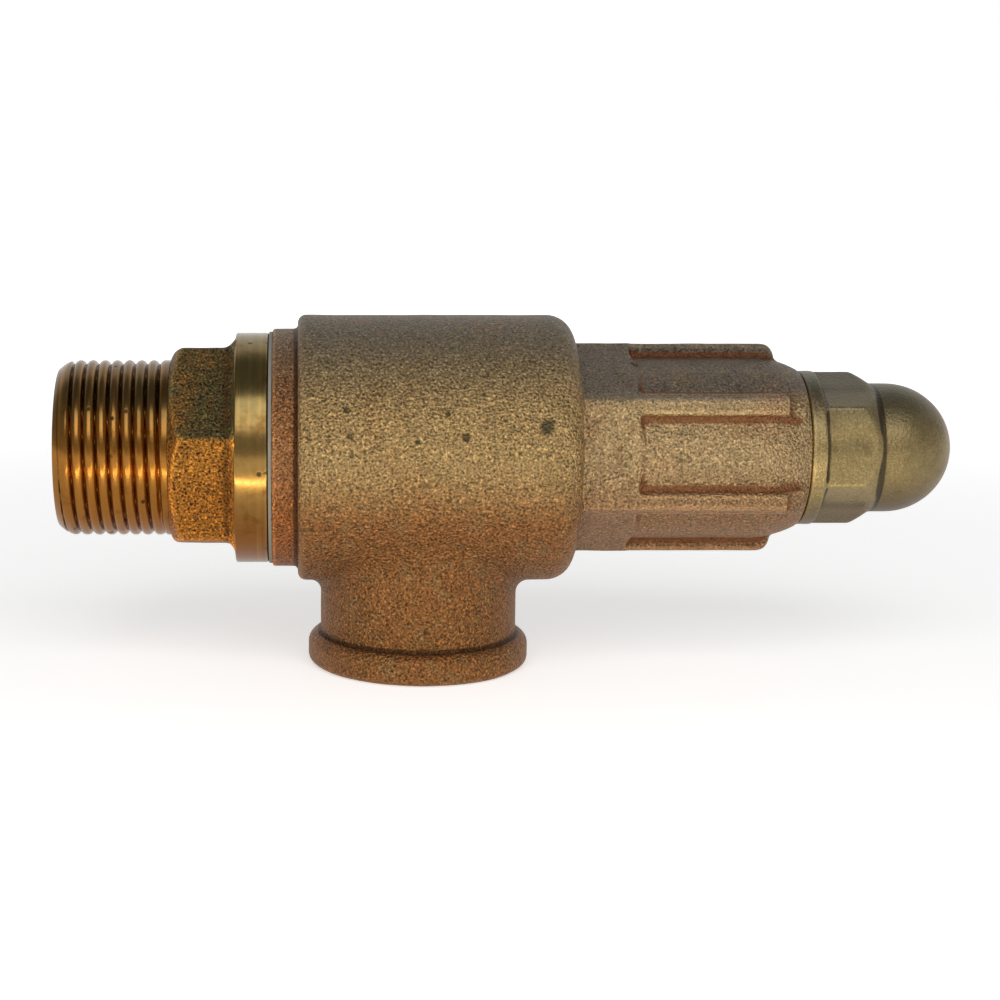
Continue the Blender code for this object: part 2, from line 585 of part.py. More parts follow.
def make_body_cavity():
    """The sockets for nozzle and bonnet, the chamber between them and the guide's hole, as a cutter."""
    round_in = CHAMBER_ROUNDING
    outline = [(0.0, BODY_START - MARGIN), (INLET_SOCKET_RADIUS, BODY_START - MARGIN)]
    outline += [(INLET_SOCKET_RADIUS, CHAMBER_START)]
    first_corner = (CHAMBER_RADIUS - round_in, CHAMBER_START + round_in)
    outline += arc(first_corner, round_in, CHAMBER_ROUNDING_START, 0.0, ROUNDING_STEPS)
    outline += arc((CHAMBER_RADIUS - round_in, CHAMBER_END - round_in), round_in, 0.0, 90.0, ROUNDING_STEPS)
    outline += [(GUIDE_WEB_HOLE_RADIUS, CHAMBER_END), (GUIDE_WEB_HOLE_RADIUS, GUIDE_WEB_END)]
    outline += [(BONNET_SOCKET_RADIUS, GUIDE_WEB_END), (BONNET_SOCKET_RADIUS, BODY_END + MARGIN)]
    outline += [(0.0, BODY_END + MARGIN)]
    return turned("body_cavity", outline)


def make_valve_body():
    """The cast body: inlet collar, barrel and outlet branch."""
    collar = BODY_COLLAR_DIAMETER / 2
    barrel = BODY_DIAMETER / 2
    left = BODY_INLET_ROUNDING
    right = BODY_BONNET_ROUNDING
    outline = [(0.0, BODY_START), (collar - BODY_COLLAR_CHAMFER, BODY_START)]
    outline += [(collar, BODY_START + BODY_COLLAR_CHAMFER), (collar, BODY_BARREL_START)]
    outline += arc((barrel - left, BODY_BARREL_START + left), left, -90.0, 0.0, ROUNDING_STEPS)
    outline += arc((barrel - right, BODY_END - right), right, 0.0, 90.0, WIDE_ROUNDING_STEPS)
    outline += [(0.0, BODY_END)]
    body = turned("valve_body", outline)
    combine(body, "UNION", make_outlet_branch())
    combine(body, "DIFFERENCE", make_body_cavity(), make_outlet_bore())
    return as_piece(body, CAST_BRONZE)


def make_disc_seal():
    """The soft seal that closes the seat."""
    seal = ring("disc_seal", SEAL_SCREW_HOLE_RADIUS, SEAL_RADIUS, SEAL_THICKNESS, SEAL_START, INNER_STEPS)
    return as_piece(seal, SEAL_WHITE)


def make_seal_retainer():
    """The washer that holds the seal in the disc holder."""
    outer = RETAINER_DIAMETER / 2
    bevel = RETAINER_CHAMFER
    outline = [(SEAL_SCREW_HOLE_RADIUS, 0.0), (outer - bevel, 0.0), (outer, bevel)]
    outline += [(outer, RETAINER_THICKNESS), (SEAL_SCREW_HOLE_RADIUS, RETAINER_THICKNESS)]
    return as_piece(turned("seal_retainer", outline, RETAINER_START, INNER_STEPS), STAINLESS)


def make_seal_screw():
    """The slotted screw through the retainer and the seal."""
    head = SEAL_SCREW_HEAD_DIAMETER / 2
    shank = SEAL_SCREW_DIAMETER / 2
    end = SEAL_SCREW_HEAD_HEIGHT + SEAL_SCREW_LENGTH
    bevel = SEAL_SCREW_CHAMFER
    outline = [(0.0, 0.0), (head - bevel, 0.0), (head, bevel), (head, SEAL_SCREW_HEAD_HEIGHT)]
    outline += [(shank, SEAL_SCREW_HEAD_HEIGHT), (shank, end - bevel), (shank - bevel, end), (0.0, end)]
    screw = turned("seal_screw", outline, SEAL_SCREW_START, SMALL_STEPS)
    size = (SEAL_SCREW_SLOT_WIDTH, 2 * SEAL_SCREW_HEAD_DIAMETER, 2 * SEAL_SCREW_SLOT_DEPTH)
    combine(screw, "DIFFERENCE", box("seal_screw_slot", size, (0.0, 0.0, 0.0), SEAL_SCREW_START))
    return as_piece(screw, STAINLESS)


def make_pin_hole():
    """The cross hole for the spindle's pin, as a cutter."""
    radius = SPINDLE_PIN_DIAMETER / 2 + SEAT_GAP
    reach = HOLDER_STEM_DIAMETER / 2 + MARGIN
    cutter = rod("spindle_pin_hole", radius, -reach, reach, SPINDLE_PIN_STATION, SMALL_STEPS)
    cutter.rotation_euler = (math.pi / 2, 0.0, 0.0)
    return cutter


def make_disc_holder(pin_hole):
    """The disc holder: a head that carries the seal, and a stem that runs in the guide."""
    head = HOLDER_HEAD_RADIUS
    stem = HOLDER_STEM_DIAMETER / 2
    bevel = HOLDER_CHAMFER
    hole_end = SEAL_SCREW_START + SEAL_SCREW_HEAD_HEIGHT + SEAL_SCREW_LENGTH + SEAT_GAP
    outline = [(0.0, hole_end), (SEAL_SCREW_HOLE_RADIUS, hole_end)]
    outline += [(SEAL_SCREW_HOLE_RADIUS, HOLDER_RECESS_FLOOR), (HOLDER_RECESS_RADIUS, HOLDER_RECESS_FLOOR)]
    outline += [(HOLDER_RECESS_RADIUS, HOLDER_START), (head, HOLDER_START)]
    outline += [(head, HOLDER_HEAD_END - bevel), (head - bevel, HOLDER_HEAD_END), (stem, HOLDER_HEAD_END)]
    outline += [(stem, HOLDER_END - bevel), (stem - bevel, HOLDER_END)]
    outline += [(SPINDLE_SOCKET_RADIUS, HOLDER_END), (SPINDLE_SOCKET_RADIUS, SPINDLE_SOCKET_FLOOR)]
    outline += [(0.0, SPINDLE_SOCKET_FLOOR)]
    holder = turned("disc_holder", outline, 0.0, INNER_STEPS)
    combine(holder, "DIFFERENCE", pin_hole)
    return as_piece(holder, STAINLESS)


def make_guide_sleeve():
    """The flanged sleeve that guides the disc holder and stops its lift."""
    outline = [(GUIDE_BORE_RADIUS, GUIDE_START), (GUIDE_OUTER_RADIUS, GUIDE_START)]
    outline += [(GUIDE_OUTER_RADIUS, GUIDE_FLANGE_START), (BONNET_SPIGOT_DIAMETER / 2, GUIDE_FLANGE_START)]
    flange_end = GUIDE_FLANGE_START + GUIDE_FLANGE_THICKNESS
    outline += [(BONNET_SPIGOT_DIAMETER / 2, flange_end), (GUIDE_BORE_RADIUS, flange_end)]
    return as_piece(turned("guide_sleeve", outline, 0.0, BODY_STEPS), BRIGHT_BRASS)


def make_spindle_ball():
    """The ball that passes the spring's load to the disc holder."""
    sketch = bmesh.new()
    radius = SPINDLE_BALL_DIAMETER / 2
    bmesh.ops.create_uvsphere(sketch, u_segments=SMALL_STEPS, v_segments=BALL_RINGS, radius=radius)
    mesh = bpy.data.meshes.new("spindle_ball")
    sketch.to_mesh(mesh)
    sketch.free()
    return as_piece(place(mesh, "spindle_ball", CUTTERS, SPINDLE_BALL_STATION), STAINLESS)


def make_spindle(pin_hole):
    """The spindle: foot in the disc holder, collar under the lower plate, stem up into the screw."""
    foot = SPINDLE_DIAMETER / 2
    collar = SPINDLE_COLLAR_DIAMETER / 2
    stem = SPINDLE_STEM_DIAMETER / 2
    bevel = SPINDLE_CHAMFER
    outline = [(0.0, SPINDLE_START), (foot - bevel, SPINDLE_START), (foot, SPINDLE_START + bevel)]
    outline += [(foot, SPINDLE_COLLAR_START), (collar - bevel, SPINDLE_COLLAR_START)]
    outline += [(collar, SPINDLE_COLLAR_START + bevel), (collar, SPINDLE_STEM_START)]
    outline += [(stem, SPINDLE_STEM_START), (stem, SPINDLE_END - bevel)]
    outline += [(stem - bevel, SPINDLE_END), (0.0, SPINDLE_END)]
    spindle = turned("spindle", outline, 0.0, SMALL_STEPS)
    combine(spindle, "DIFFERENCE", pin_hole)
    return as_piece(spindle, STAINLESS)


def make_spindle_pin():
    """The cross pin that ties the disc holder to the spindle."""
    radius = SPINDLE_PIN_DIAMETER / 2
    half = HOLDER_STEM_DIAMETER / 2 - SPINDLE_PIN_END_INSET
    outline = [(0.0, -half), (radius, -half), (radius, half), (0.0, half)]
    pin = turned("spindle_pin", outline, SPINDLE_PIN_STATION, SMALL_STEPS)
    pin.rotation_euler = (math.pi / 2, 0.0, 0.0)
    return as_piece(pin, STAINLESS)


def spring_plate(name, station, thickness, turned_over):
    """A spring plate: a disc with a boss that centres the spring's end."""
    bevel = PLATE_CHAMFER
    outline = [(SPINDLE_STEM_HOLE_RADIUS, 0.0), (PLATE_RADIUS - bevel, 0.0), (PLATE_RADIUS, bevel)]
    outline += [(PLATE_RADIUS, thickness), (PLATE_BOSS_RADIUS, thickness)]
    outline += [(PLATE_BOSS_RADIUS - bevel, thickness + PLATE_BOSS_HEIGHT)]
    outline += [(SPINDLE_STEM_HOLE_RADIUS, thickness + PLATE_BOSS_HEIGHT)]
    if turned_over:
        outline = [(radius, thickness - height) for radius, height in outline]
    return as_piece(turned(name, outline, station, INNER_STEPS), STAINLESS)


def make_spring():
    """The coil spring between the plates, with a closed turn at each end."""
    wire = SPRING_WIRE_DIAMETER
    low = SPRING_START + wire / 2
    travel = SPRING_END - SPRING_START - wire
    closed_rise = SPRING_END_TURNS * (wire + SEAT_GAP)
    open_turns = SPRING_TURNS - 2 * SPRING_END_TURNS
    open_rise = travel - 2 * closed_rise
    curve = bpy.data.curves.new("spring", "CURVE")
    curve.dimensions = "3D"
    curve.bevel_depth = wire / 2
    curve.bevel_resolution = 2
    curve.use_fill_caps = True
    count = round(SPRING_TURNS * COIL_POINTS_PER_TURN)
    spline = curve.splines.new("POLY")
    spline.points.add(count)
    for index, point in enumerate(spline.points):
        turn = SPRING_TURNS * index / count
        into_open = min(max(turn - SPRING_END_TURNS, 0.0), open_turns)
        closed = turn - into_open
        height = low + closed * (wire + SEAT_GAP) + into_open / open_turns * open_rise
        angle = 2 * math.pi * turn
        point.co = (SPRING_MEAN_RADIUS * math.cos(angle), SPRING_MEAN_RADIUS * math.sin(angle), height, 1.0)
    return as_piece(curve_to_mesh("spring", curve, Matrix.Identity(4)), SPRING_STEEL)


def make_bonnet_gasket():
    """Flat gasket between the body and the bonnet's hexagon."""
    inner = BONNET_SPIGOT_DIAMETER / 2 + SEAT_GAP
    outer = BONNET_HEX_FLATS / 2 - BONNET_GASKET_INSET
    gasket = ring("bonnet_gasket", inner, outer, BONNET_GASKET_THICKNESS, BONNET_GASKET_START)
    return as_piece(gasket, FIBRE)


def rib_outline(end):
    """A rib's side view of (height, radius) points, up to its rounded far end."""
    outer = BONNET_HEX_FLATS / math.sqrt(3)
    inside_wall = (BONNET_BARREL_DIAMETER / 2 + BONNET_BORE_DIAMETER / 2) / 2
    rounding = BONNET_RIB_END_ROUNDING
    start = BONNET_HEX_END - BONNET_HEX_RECESS_LENGTH - MARGIN
    outline = [(start, inside_wall), (start, outer)]
    for radius, height in arc((outer - rounding, end - rounding), rounding, 0.0, 90.0, ROUNDING_STEPS):
        outline.append((height, radius))
    outline.append((end, inside_wall))
    return outline


def make_bonnet_ribs(envelope):
    """Ribs along the barrel on the hexagon's corners: narrow above and below, broad and long beside."""
    ribs = []
    for index in range(6):
        beside = index % 3 > 0
        end = BONNET_BARREL_END + (BONNET_SIDE_RIB_OVERRUN if beside else 0.0)
        width = BONNET_SIDE_RIB_WIDTH if beside else BONNET_RIB_WIDTH
        angle = BONNET_HEX_CORNER_ANGLE + index * math.pi / 3
        along = Vector((0.0, 0.0, 1.0))
        outward = Vector((math.cos(angle), math.sin(angle), 0.0))
        frame = Matrix((along, outward, along.cross(outward))).transposed().to_4x4()
        rib = plate("bonnet_rib_%d" % (index + 1), rib_outline(end), width, frame)
        ribs.append(combine(rib, "INTERSECT", envelope))
    return ribs


def make_bonnet_hexagon():
    """The bonnet's wrench hexagon, hollowed towards the barrel at its far end."""
    corner = BONNET_HEX_FLATS / math.sqrt(3) + MARGIN
    barrel = BONNET_BARREL_DIAMETER / 2 - MARGIN
    depth = BONNET_HEX_RECESS_LENGTH
    drum = [(0.0, 0.0), (corner, 0.0), (corner, BONNET_HEX_LENGTH - depth)]
    for step in range(1, FILLET_STEPS):
        angle = math.radians(90.0 * step / (FILLET_STEPS - 1))
        drum.append((
            corner - (corner - barrel) * (1 - math.cos(angle)),
            BONNET_HEX_LENGTH - depth + depth * math.sin(angle),
        ))
    drum.append((0.0, BONNET_HEX_LENGTH))
    prism = hexagon(
        "bonnet_hexagon", BONNET_HEX_FLATS, BONNET_HEX_LENGTH, BONNET_HEX_CORNER_ANGLE, BONNET_HEX_START
    )
    return combine(prism, "INTERSECT", turned("bonnet_hexagon_drum", drum, BONNET_HEX_START))


def make_bonnet():
    """The spring housing: spigot, hexagon, ribbed barrel, shoulder and threaded neck."""
    barrel = BONNET_BARREL_DIAMETER / 2
    spigot = BONNET_SPIGOT_DIAMETER / 2
    shoulder = BONNET_SHOULDER_END_DIAMETER / 2
    outline = [(0.0, BONNET_START), (spigot, BONNET_START), (spigot, BONNET_HEX_START + MARGIN)]
    outline += [(barrel, BONNET_HEX_START + MARGIN), (barrel, BONNET_BARREL_END)]
    outline += [(shoulder, BONNET_SHOULDER_END), (BONNET_NECK_RADIUS, BONNET_SHOULDER_END)]
    outline += [(BONNET_NECK_RADIUS, BONNET_NECK_END - SCREW_CHAMFER)]
    outline += [(BONNET_NECK_RADIUS - SCREW_CHAMFER, BONNET_NECK_END), (0.0, BONNET_NECK_END)]
    bonnet = turned("bonnet", outline)
    rib_flats = BONNET_HEX_FLATS - 2 * BONNET_RIB_INSET
    rib_length = BONNET_BARREL_END + BONNET_SIDE_RIB_OVERRUN - BONNET_HEX_START
    envelope = hexagon(
        "bonnet_rib_envelope", rib_flats, rib_length, BONNET_HEX_CORNER_ANGLE, BONNET_HEX_START
    )
    combine(bonnet, "UNION", make_bonnet_hexagon(), *make_bonnet_ribs(envelope))
    bore = BONNET_BORE_DIAMETER / 2
    hollow = [(0.0, BONNET_START - MARGIN), (bore, BONNET_START - MARGIN), (bore, BONNET_BORE_END)]
    hollow += [(SCREW_HOLE_RADIUS, BONNET_BORE_END), (SCREW_HOLE_RADIUS, BONNET_NECK_END + MARGIN)]
    hollow += [(0.0, BONNET_NECK_END + MARGIN)]
    combine(bonnet, "DIFFERENCE", turned("bonnet_hollow", hollow))
    return as_piece(bonnet, CAST_BRONZE)


def make_adjusting_screw():
    """The slotted setting screw, bored for the spindle's end."""
    radius = SCREW_DIAMETER / 2
    bevel = SCREW_CHAMFER
    length = SCREW_END - SCREW_START
    hole = SPINDLE_STEM_HOLE_RADIUS
    outline = [(hole, 0.0), (radius - bevel, 0.0), (radius, bevel), (radius, length - bevel)]
    outline += [(radius - bevel, length), (0.0, length), (0.0, SCREW_BORE_DEPTH), (hole, SCREW_BORE_DEPTH)]
    screw = turned("adjusting_screw", outline, SCREW_START, INNER_STEPS)
    size = (SCREW_SLOT_WIDTH, 2 * SCREW_DIAMETER, 2 * SCREW_SLOT_DEPTH)
    combine(screw, "DIFFERENCE", box("adjusting_screw_slot", size, (0.0, 0.0, length), SCREW_START))
    return as_piece(screw, STAINLESS)


def make_lock_washer():
    """The washer under the lock nut."""
    washer = ring(
        "lock_washer", SCREW_HOLE_RADIUS, LOCK_WASHER_DIAMETER / 2, LOCK_WASHER_THICKNESS,
        LOCK_WASHER_START, INNER_STEPS,
    )
    return as_piece(washer, STAINLESS)


def make_lock_nut():
    """The hexagon nut that locks the setting screw."""
    nut = chamfered_hexagon(
        "lock_nut", LOCK_NUT_FLATS, LOCK_NUT_THICKNESS, 0.0, LOCK_NUT_START,
        LOCK_NUT_FACE_INSET, LOCK_NUT_FACE_INSET,
    )
    hole = rod("lock_nut_hole", SCREW_HOLE_RADIUS, -MARGIN, LOCK_NUT_THICKNESS + MARGIN, LOCK_NUT_START)
    combine(nut, "DIFFERENCE", hole)
    return as_piece(nut, STAINLESS)


def make_cap_gasket():
    """Flat gasket between the bonnet's shoulder and the cap."""
    inner = BONNET_NECK_RADIUS + SEAT_GAP
    outer = CAP_RING_DIAMETER / 2 - CAP_GASKET_INSET
    gasket = ring("cap_gasket", inner, outer, CAP_GASKET_THICKNESS, CAP_GASKET_START)
    return as_piece(gasket, FIBRE)


def dome(radius, height):
    """A half-round dome's outline, from its rim to its top."""
    last = 90.0 - 90.0 / DOME_STEPS
    return arc((0.0, height), radius, 0.0, last, DOME_STEPS - 1) + [(0.0, height + radius)]


def make_cap():
    """The domed cap with its ring and hexagon, over the setting screw."""
    rim = CAP_RING_DIAMETER / 2
    edge = min(CAP_RING_ROUNDING, CAP_RING_THICKNESS / 2)
    dome_height = CAP_DOME_STATION - CAP_START
    outline = [(0.0, 0.0)] + arc((rim - edge, edge), edge, -90.0, 0.0, 2)
    outline += arc((rim - edge, CAP_RING_THICKNESS - edge), edge, 0.0, 90.0, 2)
    outline += [(CAP_DOME_RADIUS, CAP_RING_THICKNESS)]
    outline += dome(CAP_DOME_RADIUS, dome_height)
    cap = turned("cap", outline, CAP_START)
    hex_start = CAP_START + CAP_RING_THICKNESS / 2
    hex_length = CAP_HEX_END - hex_start
    hex_inset = CAP_HEX_FLATS / 2 - CAP_DOME_RADIUS
    hex_block = chamfered_hexagon(
        "cap_hexagon", CAP_HEX_FLATS, hex_length, CAP_HEX_CORNER_ANGLE, hex_start, None, hex_inset,
        CAP_CHAMFER_SLOPE,
    )
    combine(cap, "UNION", hex_block)
    hollow = [(0.0, -MARGIN), (CAP_BORE_RADIUS, -MARGIN)] + dome(CAP_BORE_RADIUS, dome_height)
    combine(cap, "DIFFERENCE", turned("cap_hollow", hollow, CAP_START))
    return as_piece(cap, CAP_BRONZE)


def settle(item):
    """Turn an object's modifiers into its mesh, and shade it smooth between its sharp edges."""
    graph = bpy.context.evaluated_depsgraph_get()
    mesh = bpy.data.meshes.new_from_object(item.evaluated_get(graph))
    item.modifiers.clear()
    item.data = mesh
    mesh.name = item.name
    mesh.shade_smooth()
    mesh.set_sharp_from_angle(angle=SHARP_ANGLE)


def main():
    """Build the valve, from the inlet to the cap."""
    pin_hole = make_pin_hole()
    make_inlet_nozzle()
    make_nozzle_gasket()
    make_valve_body()
    make_disc_seal()
    make_seal_retainer()
    make_seal_screw()
    make_disc_holder(pin_hole)
    make_guide_sleeve()
    make_spindle_ball()
    make_spindle(pin_hole)
    make_spindle_pin()
    spring_plate("lower_spring_plate", LOWER_PLATE_START, LOWER_PLATE_THICKNESS, False)
    make_spring()
    spring_plate("upper_spring_plate", UPPER_PLATE_START, UPPER_PLATE_THICKNESS, True)
    make_bonnet_gasket()
    make_bonnet()
    make_adjusting_screw()
    make_lock_washer()
    make_lock_nut()
    make_cap_gasket()
    make_cap()
    for item in PIECES.objects:
        settle(item)


main()
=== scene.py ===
"""Looks of the bronze safety valve: castings, turned brass, threads, camera and light."""

import math

import bmesh
import bpy
import numpy as np
from mathutils import Matrix, Vector

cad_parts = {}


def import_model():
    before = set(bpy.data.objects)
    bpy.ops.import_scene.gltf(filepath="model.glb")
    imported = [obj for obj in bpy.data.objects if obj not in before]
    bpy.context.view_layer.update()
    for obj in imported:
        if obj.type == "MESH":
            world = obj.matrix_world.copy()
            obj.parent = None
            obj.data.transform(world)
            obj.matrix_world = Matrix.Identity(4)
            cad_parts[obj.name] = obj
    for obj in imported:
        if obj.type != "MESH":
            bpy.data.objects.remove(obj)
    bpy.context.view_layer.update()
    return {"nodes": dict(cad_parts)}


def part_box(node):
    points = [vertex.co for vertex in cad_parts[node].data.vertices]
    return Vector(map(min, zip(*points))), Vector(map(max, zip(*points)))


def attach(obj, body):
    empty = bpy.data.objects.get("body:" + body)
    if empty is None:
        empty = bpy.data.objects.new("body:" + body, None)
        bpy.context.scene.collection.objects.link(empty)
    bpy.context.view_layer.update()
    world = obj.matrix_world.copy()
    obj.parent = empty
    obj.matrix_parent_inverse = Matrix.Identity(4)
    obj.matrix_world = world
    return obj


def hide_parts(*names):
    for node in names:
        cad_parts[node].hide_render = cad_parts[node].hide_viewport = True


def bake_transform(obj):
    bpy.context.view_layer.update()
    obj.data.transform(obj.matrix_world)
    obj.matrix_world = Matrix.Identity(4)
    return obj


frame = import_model()

MM = 0.001

# The valve's axis and its inlet end, from the frame
INLET_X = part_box("inlet_nozzle")[0].x
AXIS_Z = (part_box("cap")[0].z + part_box("cap")[1].z) / 2


def station(x):
    """Millimetres along the valve from the inlet's end."""
    return (x - INLET_X) / MM


# Stations of the main pieces along the valve, in millimetres from the inlet's end
SEAT = station(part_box("inlet_nozzle")[1].x)
GASKET_START = station(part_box("nozzle_gasket")[0].x)
GASKET_END = station(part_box("nozzle_gasket")[1].x)
BODY_START = station(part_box("valve_body")[0].x)
BODY_END = station(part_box("valve_body")[1].x)
BONNET_START = station(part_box("bonnet")[0].x)
NECK_END = station(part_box("bonnet")[1].x)
BONNET_GASKET_END = station(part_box("bonnet_gasket")[1].x)
CAP_GASKET_START = station(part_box("cap_gasket")[0].x)
CAP_START = station(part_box("cap")[0].x)
CAP_END = station(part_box("cap")[1].x)

# All sizes from here on are in millimetres; outer pieces that touch keep this much between them
TOUCH = 0.06

# Inlet nozzle
PIPE_THREAD_RADIUS = 16.62
PIPE_THREAD_PITCH = 2.309
PIPE_THREAD_DEPTH = 0.85
THREAD_LENGTH = 21.2
THREAD_LAST = THREAD_LENGTH - 0.6
THREAD_SHOULDER = 0.02
END_CHAMFER = 1.7
END_ROUNDING = 3.4
CORE_RADIUS = PIPE_THREAD_RADIUS - 0.5
INLET_BORE = 12.0
INLET_BREAK = 0.4
THROAT_START = SEAT - 10
THROAT_END = SEAT - 6
SEAT_BORE = 10.0
SEAT_LIP = 11.3
SEAT_LIP_LENGTH = 1.5
SEAT_FOOT = 15.5
SPIGOT_END = SEAT - 6.8
SPIGOT_RADIUS = 19.0
SPIGOT_BREAK = 0.5
HEX_FLATS = 36.0
HEX_CORNER = math.radians(13.1)
HEX_SOFTNESS = 0.2
HEX_CHAMFER = 1.1
HEX_CHAMFER_SLOPE = (0.5, 0.866)
HEX_EDGE = 0.5
HEX_FLARE = 2.4
HEX_BORE = 15.0
HEX_DISC_INSET = 0.25
HEX_DISC_LENGTH = 0.35
COLLAR_START = 33.5
COLLAR_RADIUS = 21.85
COLLAR_ROUNDING = 0.4
COLLAR_END = GASKET_START - TOUCH

# Body and outlet
BODY_FACE = GASKET_END + TOUCH
BODY_COLLAR_RADIUS = 22.6
BODY_COLLAR_ROUNDING = 0.35
BODY_COLLAR_INSET = 9
BARREL_START = BODY_START + 4.5
BARREL_END = BODY_END + 0.25
BARREL_RADIUS = 25.2
INLET_ROUNDING = 1.5
BONNET_ROUNDING = 4.8
BODY_FILLET = 0.5
OUTLET_STATION = 68.4
OUTLET_NECK_RADIUS = 18.75
OUTLET_FILLET = 2.6
OUTLET_BEAD_RADIUS = 21.1
OUTLET_BEAD_HEIGHT = 5.8
BEAD_TOP_ROUNDING = 2.0
BEAD_RIM_ROUNDING = 1.6
OUTLET_REACH = AXIS_Z / MM
OUTLET_BORE = 15.15
OUTLET_MOUTH = 16.5
OUTLET_LINER = 16.95
OUTLET_SOCKET = PIPE_THREAD_RADIUS + 0.25
OUTLET_SOCKET_TOP = -10.0
OUTLET_THREAD_LENGTH = 17.0
OUTLET_THREAD_INSET = 0.1

# The body's passage: nozzle's bore, chamber with broken corners, guide's hole and bonnet's seat
NOZZLE_BORE = 19.3
CHAMBER_START = 48.9
CHAMBER_END = 84.2
CHAMBER_RADIUS = 21.0
CHAMBER_START_BREAK = (1.1, 0.8)
CHAMBER_END_BREAK = (1.3, 1.5)
GUIDE_HOLE = 13.9
GUIDE_HOLE_END = 86.7
BONNET_SEAT = 15.5

# Bonnet
BONNET_FLATS = 34.6
BONNET_CORNER = math.radians(34.7)
BONNET_HEX_START = BODY_END + 0.3
BONNET_HEX_END = BONNET_GASKET_END + 10.0
DRUM_END = BONNET_HEX_END + 27.6
DRUM_RADIUS = 17.2
DRUM_ROUNDING = 2.0
DRUM_INSET = 2.5
DRUM_FILLET = 1.1
SHOULDER_END = DRUM_END + 4.4
SHOULDER_RADIUS = 14.8
SHOULDER_ROUNDING = 0.6
SHOULDER_CLOSING = 0.25
RIB_WIDTH = 2.3
SIDE_RIB_WIDTH = 4.2
SIDE_RIB_END = DRUM_END + 3.0
RIB_END_ROUNDING = 3.0
RIB_ROUNDING = 0.8
RIB_FILLET = 0.9
BONNET_SPIGOT = 15.2
SPIGOT_INSET = 4
BONNET_BORE = 12.0
GASKET_SEAT = 17.16
SCREW_HOLE = 6.3
SCREW_HOLE_START = SHOULDER_END - 5.5
NECK_START = SHOULDER_END - 3
NECK_RADIUS = 9.9
NECK_CHAMFER = 0.9
NECK_CLEARANCE = 0.05
NECK_PITCH = 1.5
NECK_THREAD_DEPTH = 0.8

# The bonnet's ribs, by opposite pairs: degrees from the first corner, width and end
RIB_PAIRS = (
    (0.0, SIDE_RIB_WIDTH, SIDE_RIB_END), (60.0, RIB_WIDTH, DRUM_END), (120.0, SIDE_RIB_WIDTH, SIDE_RIB_END),
)

# Cap
CAP_FACE = CAP_GASKET_START
CAP_RING_RADIUS = 14.6
CAP_RING_END = CAP_START + 2.0
CAP_RING_FILLET = 0.25
CAP_FLATS = 25.2
CAP_HEX_START = CAP_START + 0.6
CAP_HEX_END = CAP_RING_END + 10.5
CAP_CORNER = math.radians(39.5)
CAP_CHAMFER = 0.1
CAP_CHAMFER_SLOPE = (0.819, 0.574)
CAP_EDGE = 0.35
CAP_BORE = 10.2
CAP_GASKET_SEAT = 13.05
CAP_GASKET_DEPTH = 0.2
DOME_RADIUS = 12.2
DOME_START = CAP_START + 0.8
DOME_STATION = CAP_END - DOME_RADIUS
DOME_TINT_START = CAP_HEX_END + 0.6

# Setting screw and spring
SCREW_PITCH = 1.75
SPRING_WIRE = 3.0
SPRING_RADIUS = 9.2
SPRING_END_TURNS = 0.75
SPRING_END_GAP = 0.3
SPRING_OPEN_TURNS = 2.0
WIRE_SIDES = 20
STEPS_PER_TURN = 40

# Roundings with no name of their own: of edges in sight, round a flat face, and inside the same casting
EDGE = 0.4
FACE_EDGE = 0.3
HIDDEN_EDGE = 0.1
HEXAGON_SOFTNESS = 0.12

# Height of the waves that sand leaves on the castings, and on the smoother cap
SAND_WAVE = 0.05
CAP_WAVE = 0.02

# How far cutters reach past what they cut, and how far the castings' rough solids overlap
CUT_PAST = 2
OVERLAP = 1.0

# A helical groove: its fade at the end, how sharp its crests are, and from where points follow it
THREAD_RUNOUT = 1.2
GROOVE_POWER = 2.4
THREAD_GRIP = 0.7
BORE_GRIP = 0.05

# Castings: rounds and steps that draw the skin onto its form, the probe for the form's slope, a point's
# longest step, and the degrees from which an edge is shaded sharp
CASTING_ROUNDS = 3
CASTING_STEPS = 6
PROBE = 0.01
LONGEST_STEP = 0.6
CASTING_ANGLE = 50.0


def world(s, across=0.0, up=0.0):
    """A point in metres from a station, a distance along Y and a height over the axis."""
    return Vector((INLET_X + s * MM, across * MM, AXIS_Z + up * MM))


def new_piece(mesh, name):
    """An object at the origin that holds a finished mesh."""
    mesh.name = name
    item = bpy.data.objects.new(name, mesh)
    bpy.context.scene.collection.objects.link(item)
    return item


def evaluated(item):
    """The mesh of an object with its modifiers applied; the object is removed."""
    graph = bpy.context.evaluated_depsgraph_get()
    mesh = bpy.data.meshes.new_from_object(item.evaluated_get(graph))
    bpy.data.objects.remove(item, do_unlink=True)
    return mesh


def smooth(item, angle=32.0):
    """Shade a piece smooth between its sharp edges."""
    item.data.shade_smooth()
    item.data.set_sharp_from_angle(angle=math.radians(angle))
    return item


def cut(item, *cutters):
    """Take cutters out of a piece and remove them."""
    name = item.name
    for cutter in cutters:
        modifier = item.modifiers.new(cutter.name, "BOOLEAN")
        modifier.operation = "DIFFERENCE"
        modifier.object = cutter
    mesh = evaluated(item)
    for cutter in cutters:
        bpy.data.objects.remove(cutter, do_unlink=True)
    return new_piece(mesh, name)


def dress(item, body, slot, finish, *nodes):
    """Give a piece its finish, its body and the CAD nodes that it stands for."""
    item.data.materials.clear()
    item.data.materials.append(finish)
    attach(item, body)
    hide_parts(*nodes)


def arc(centre, radius, start, end, count):
    """Points (station, radius) round an arc, its angles in degrees from the +X direction."""
    points = []
    for index in range(count + 1):
        angle = math.radians(start + (end - start) * index / count)
        points.append((centre[0] + radius * math.cos(angle), centre[1] + radius * math.sin(angle)))
    return points


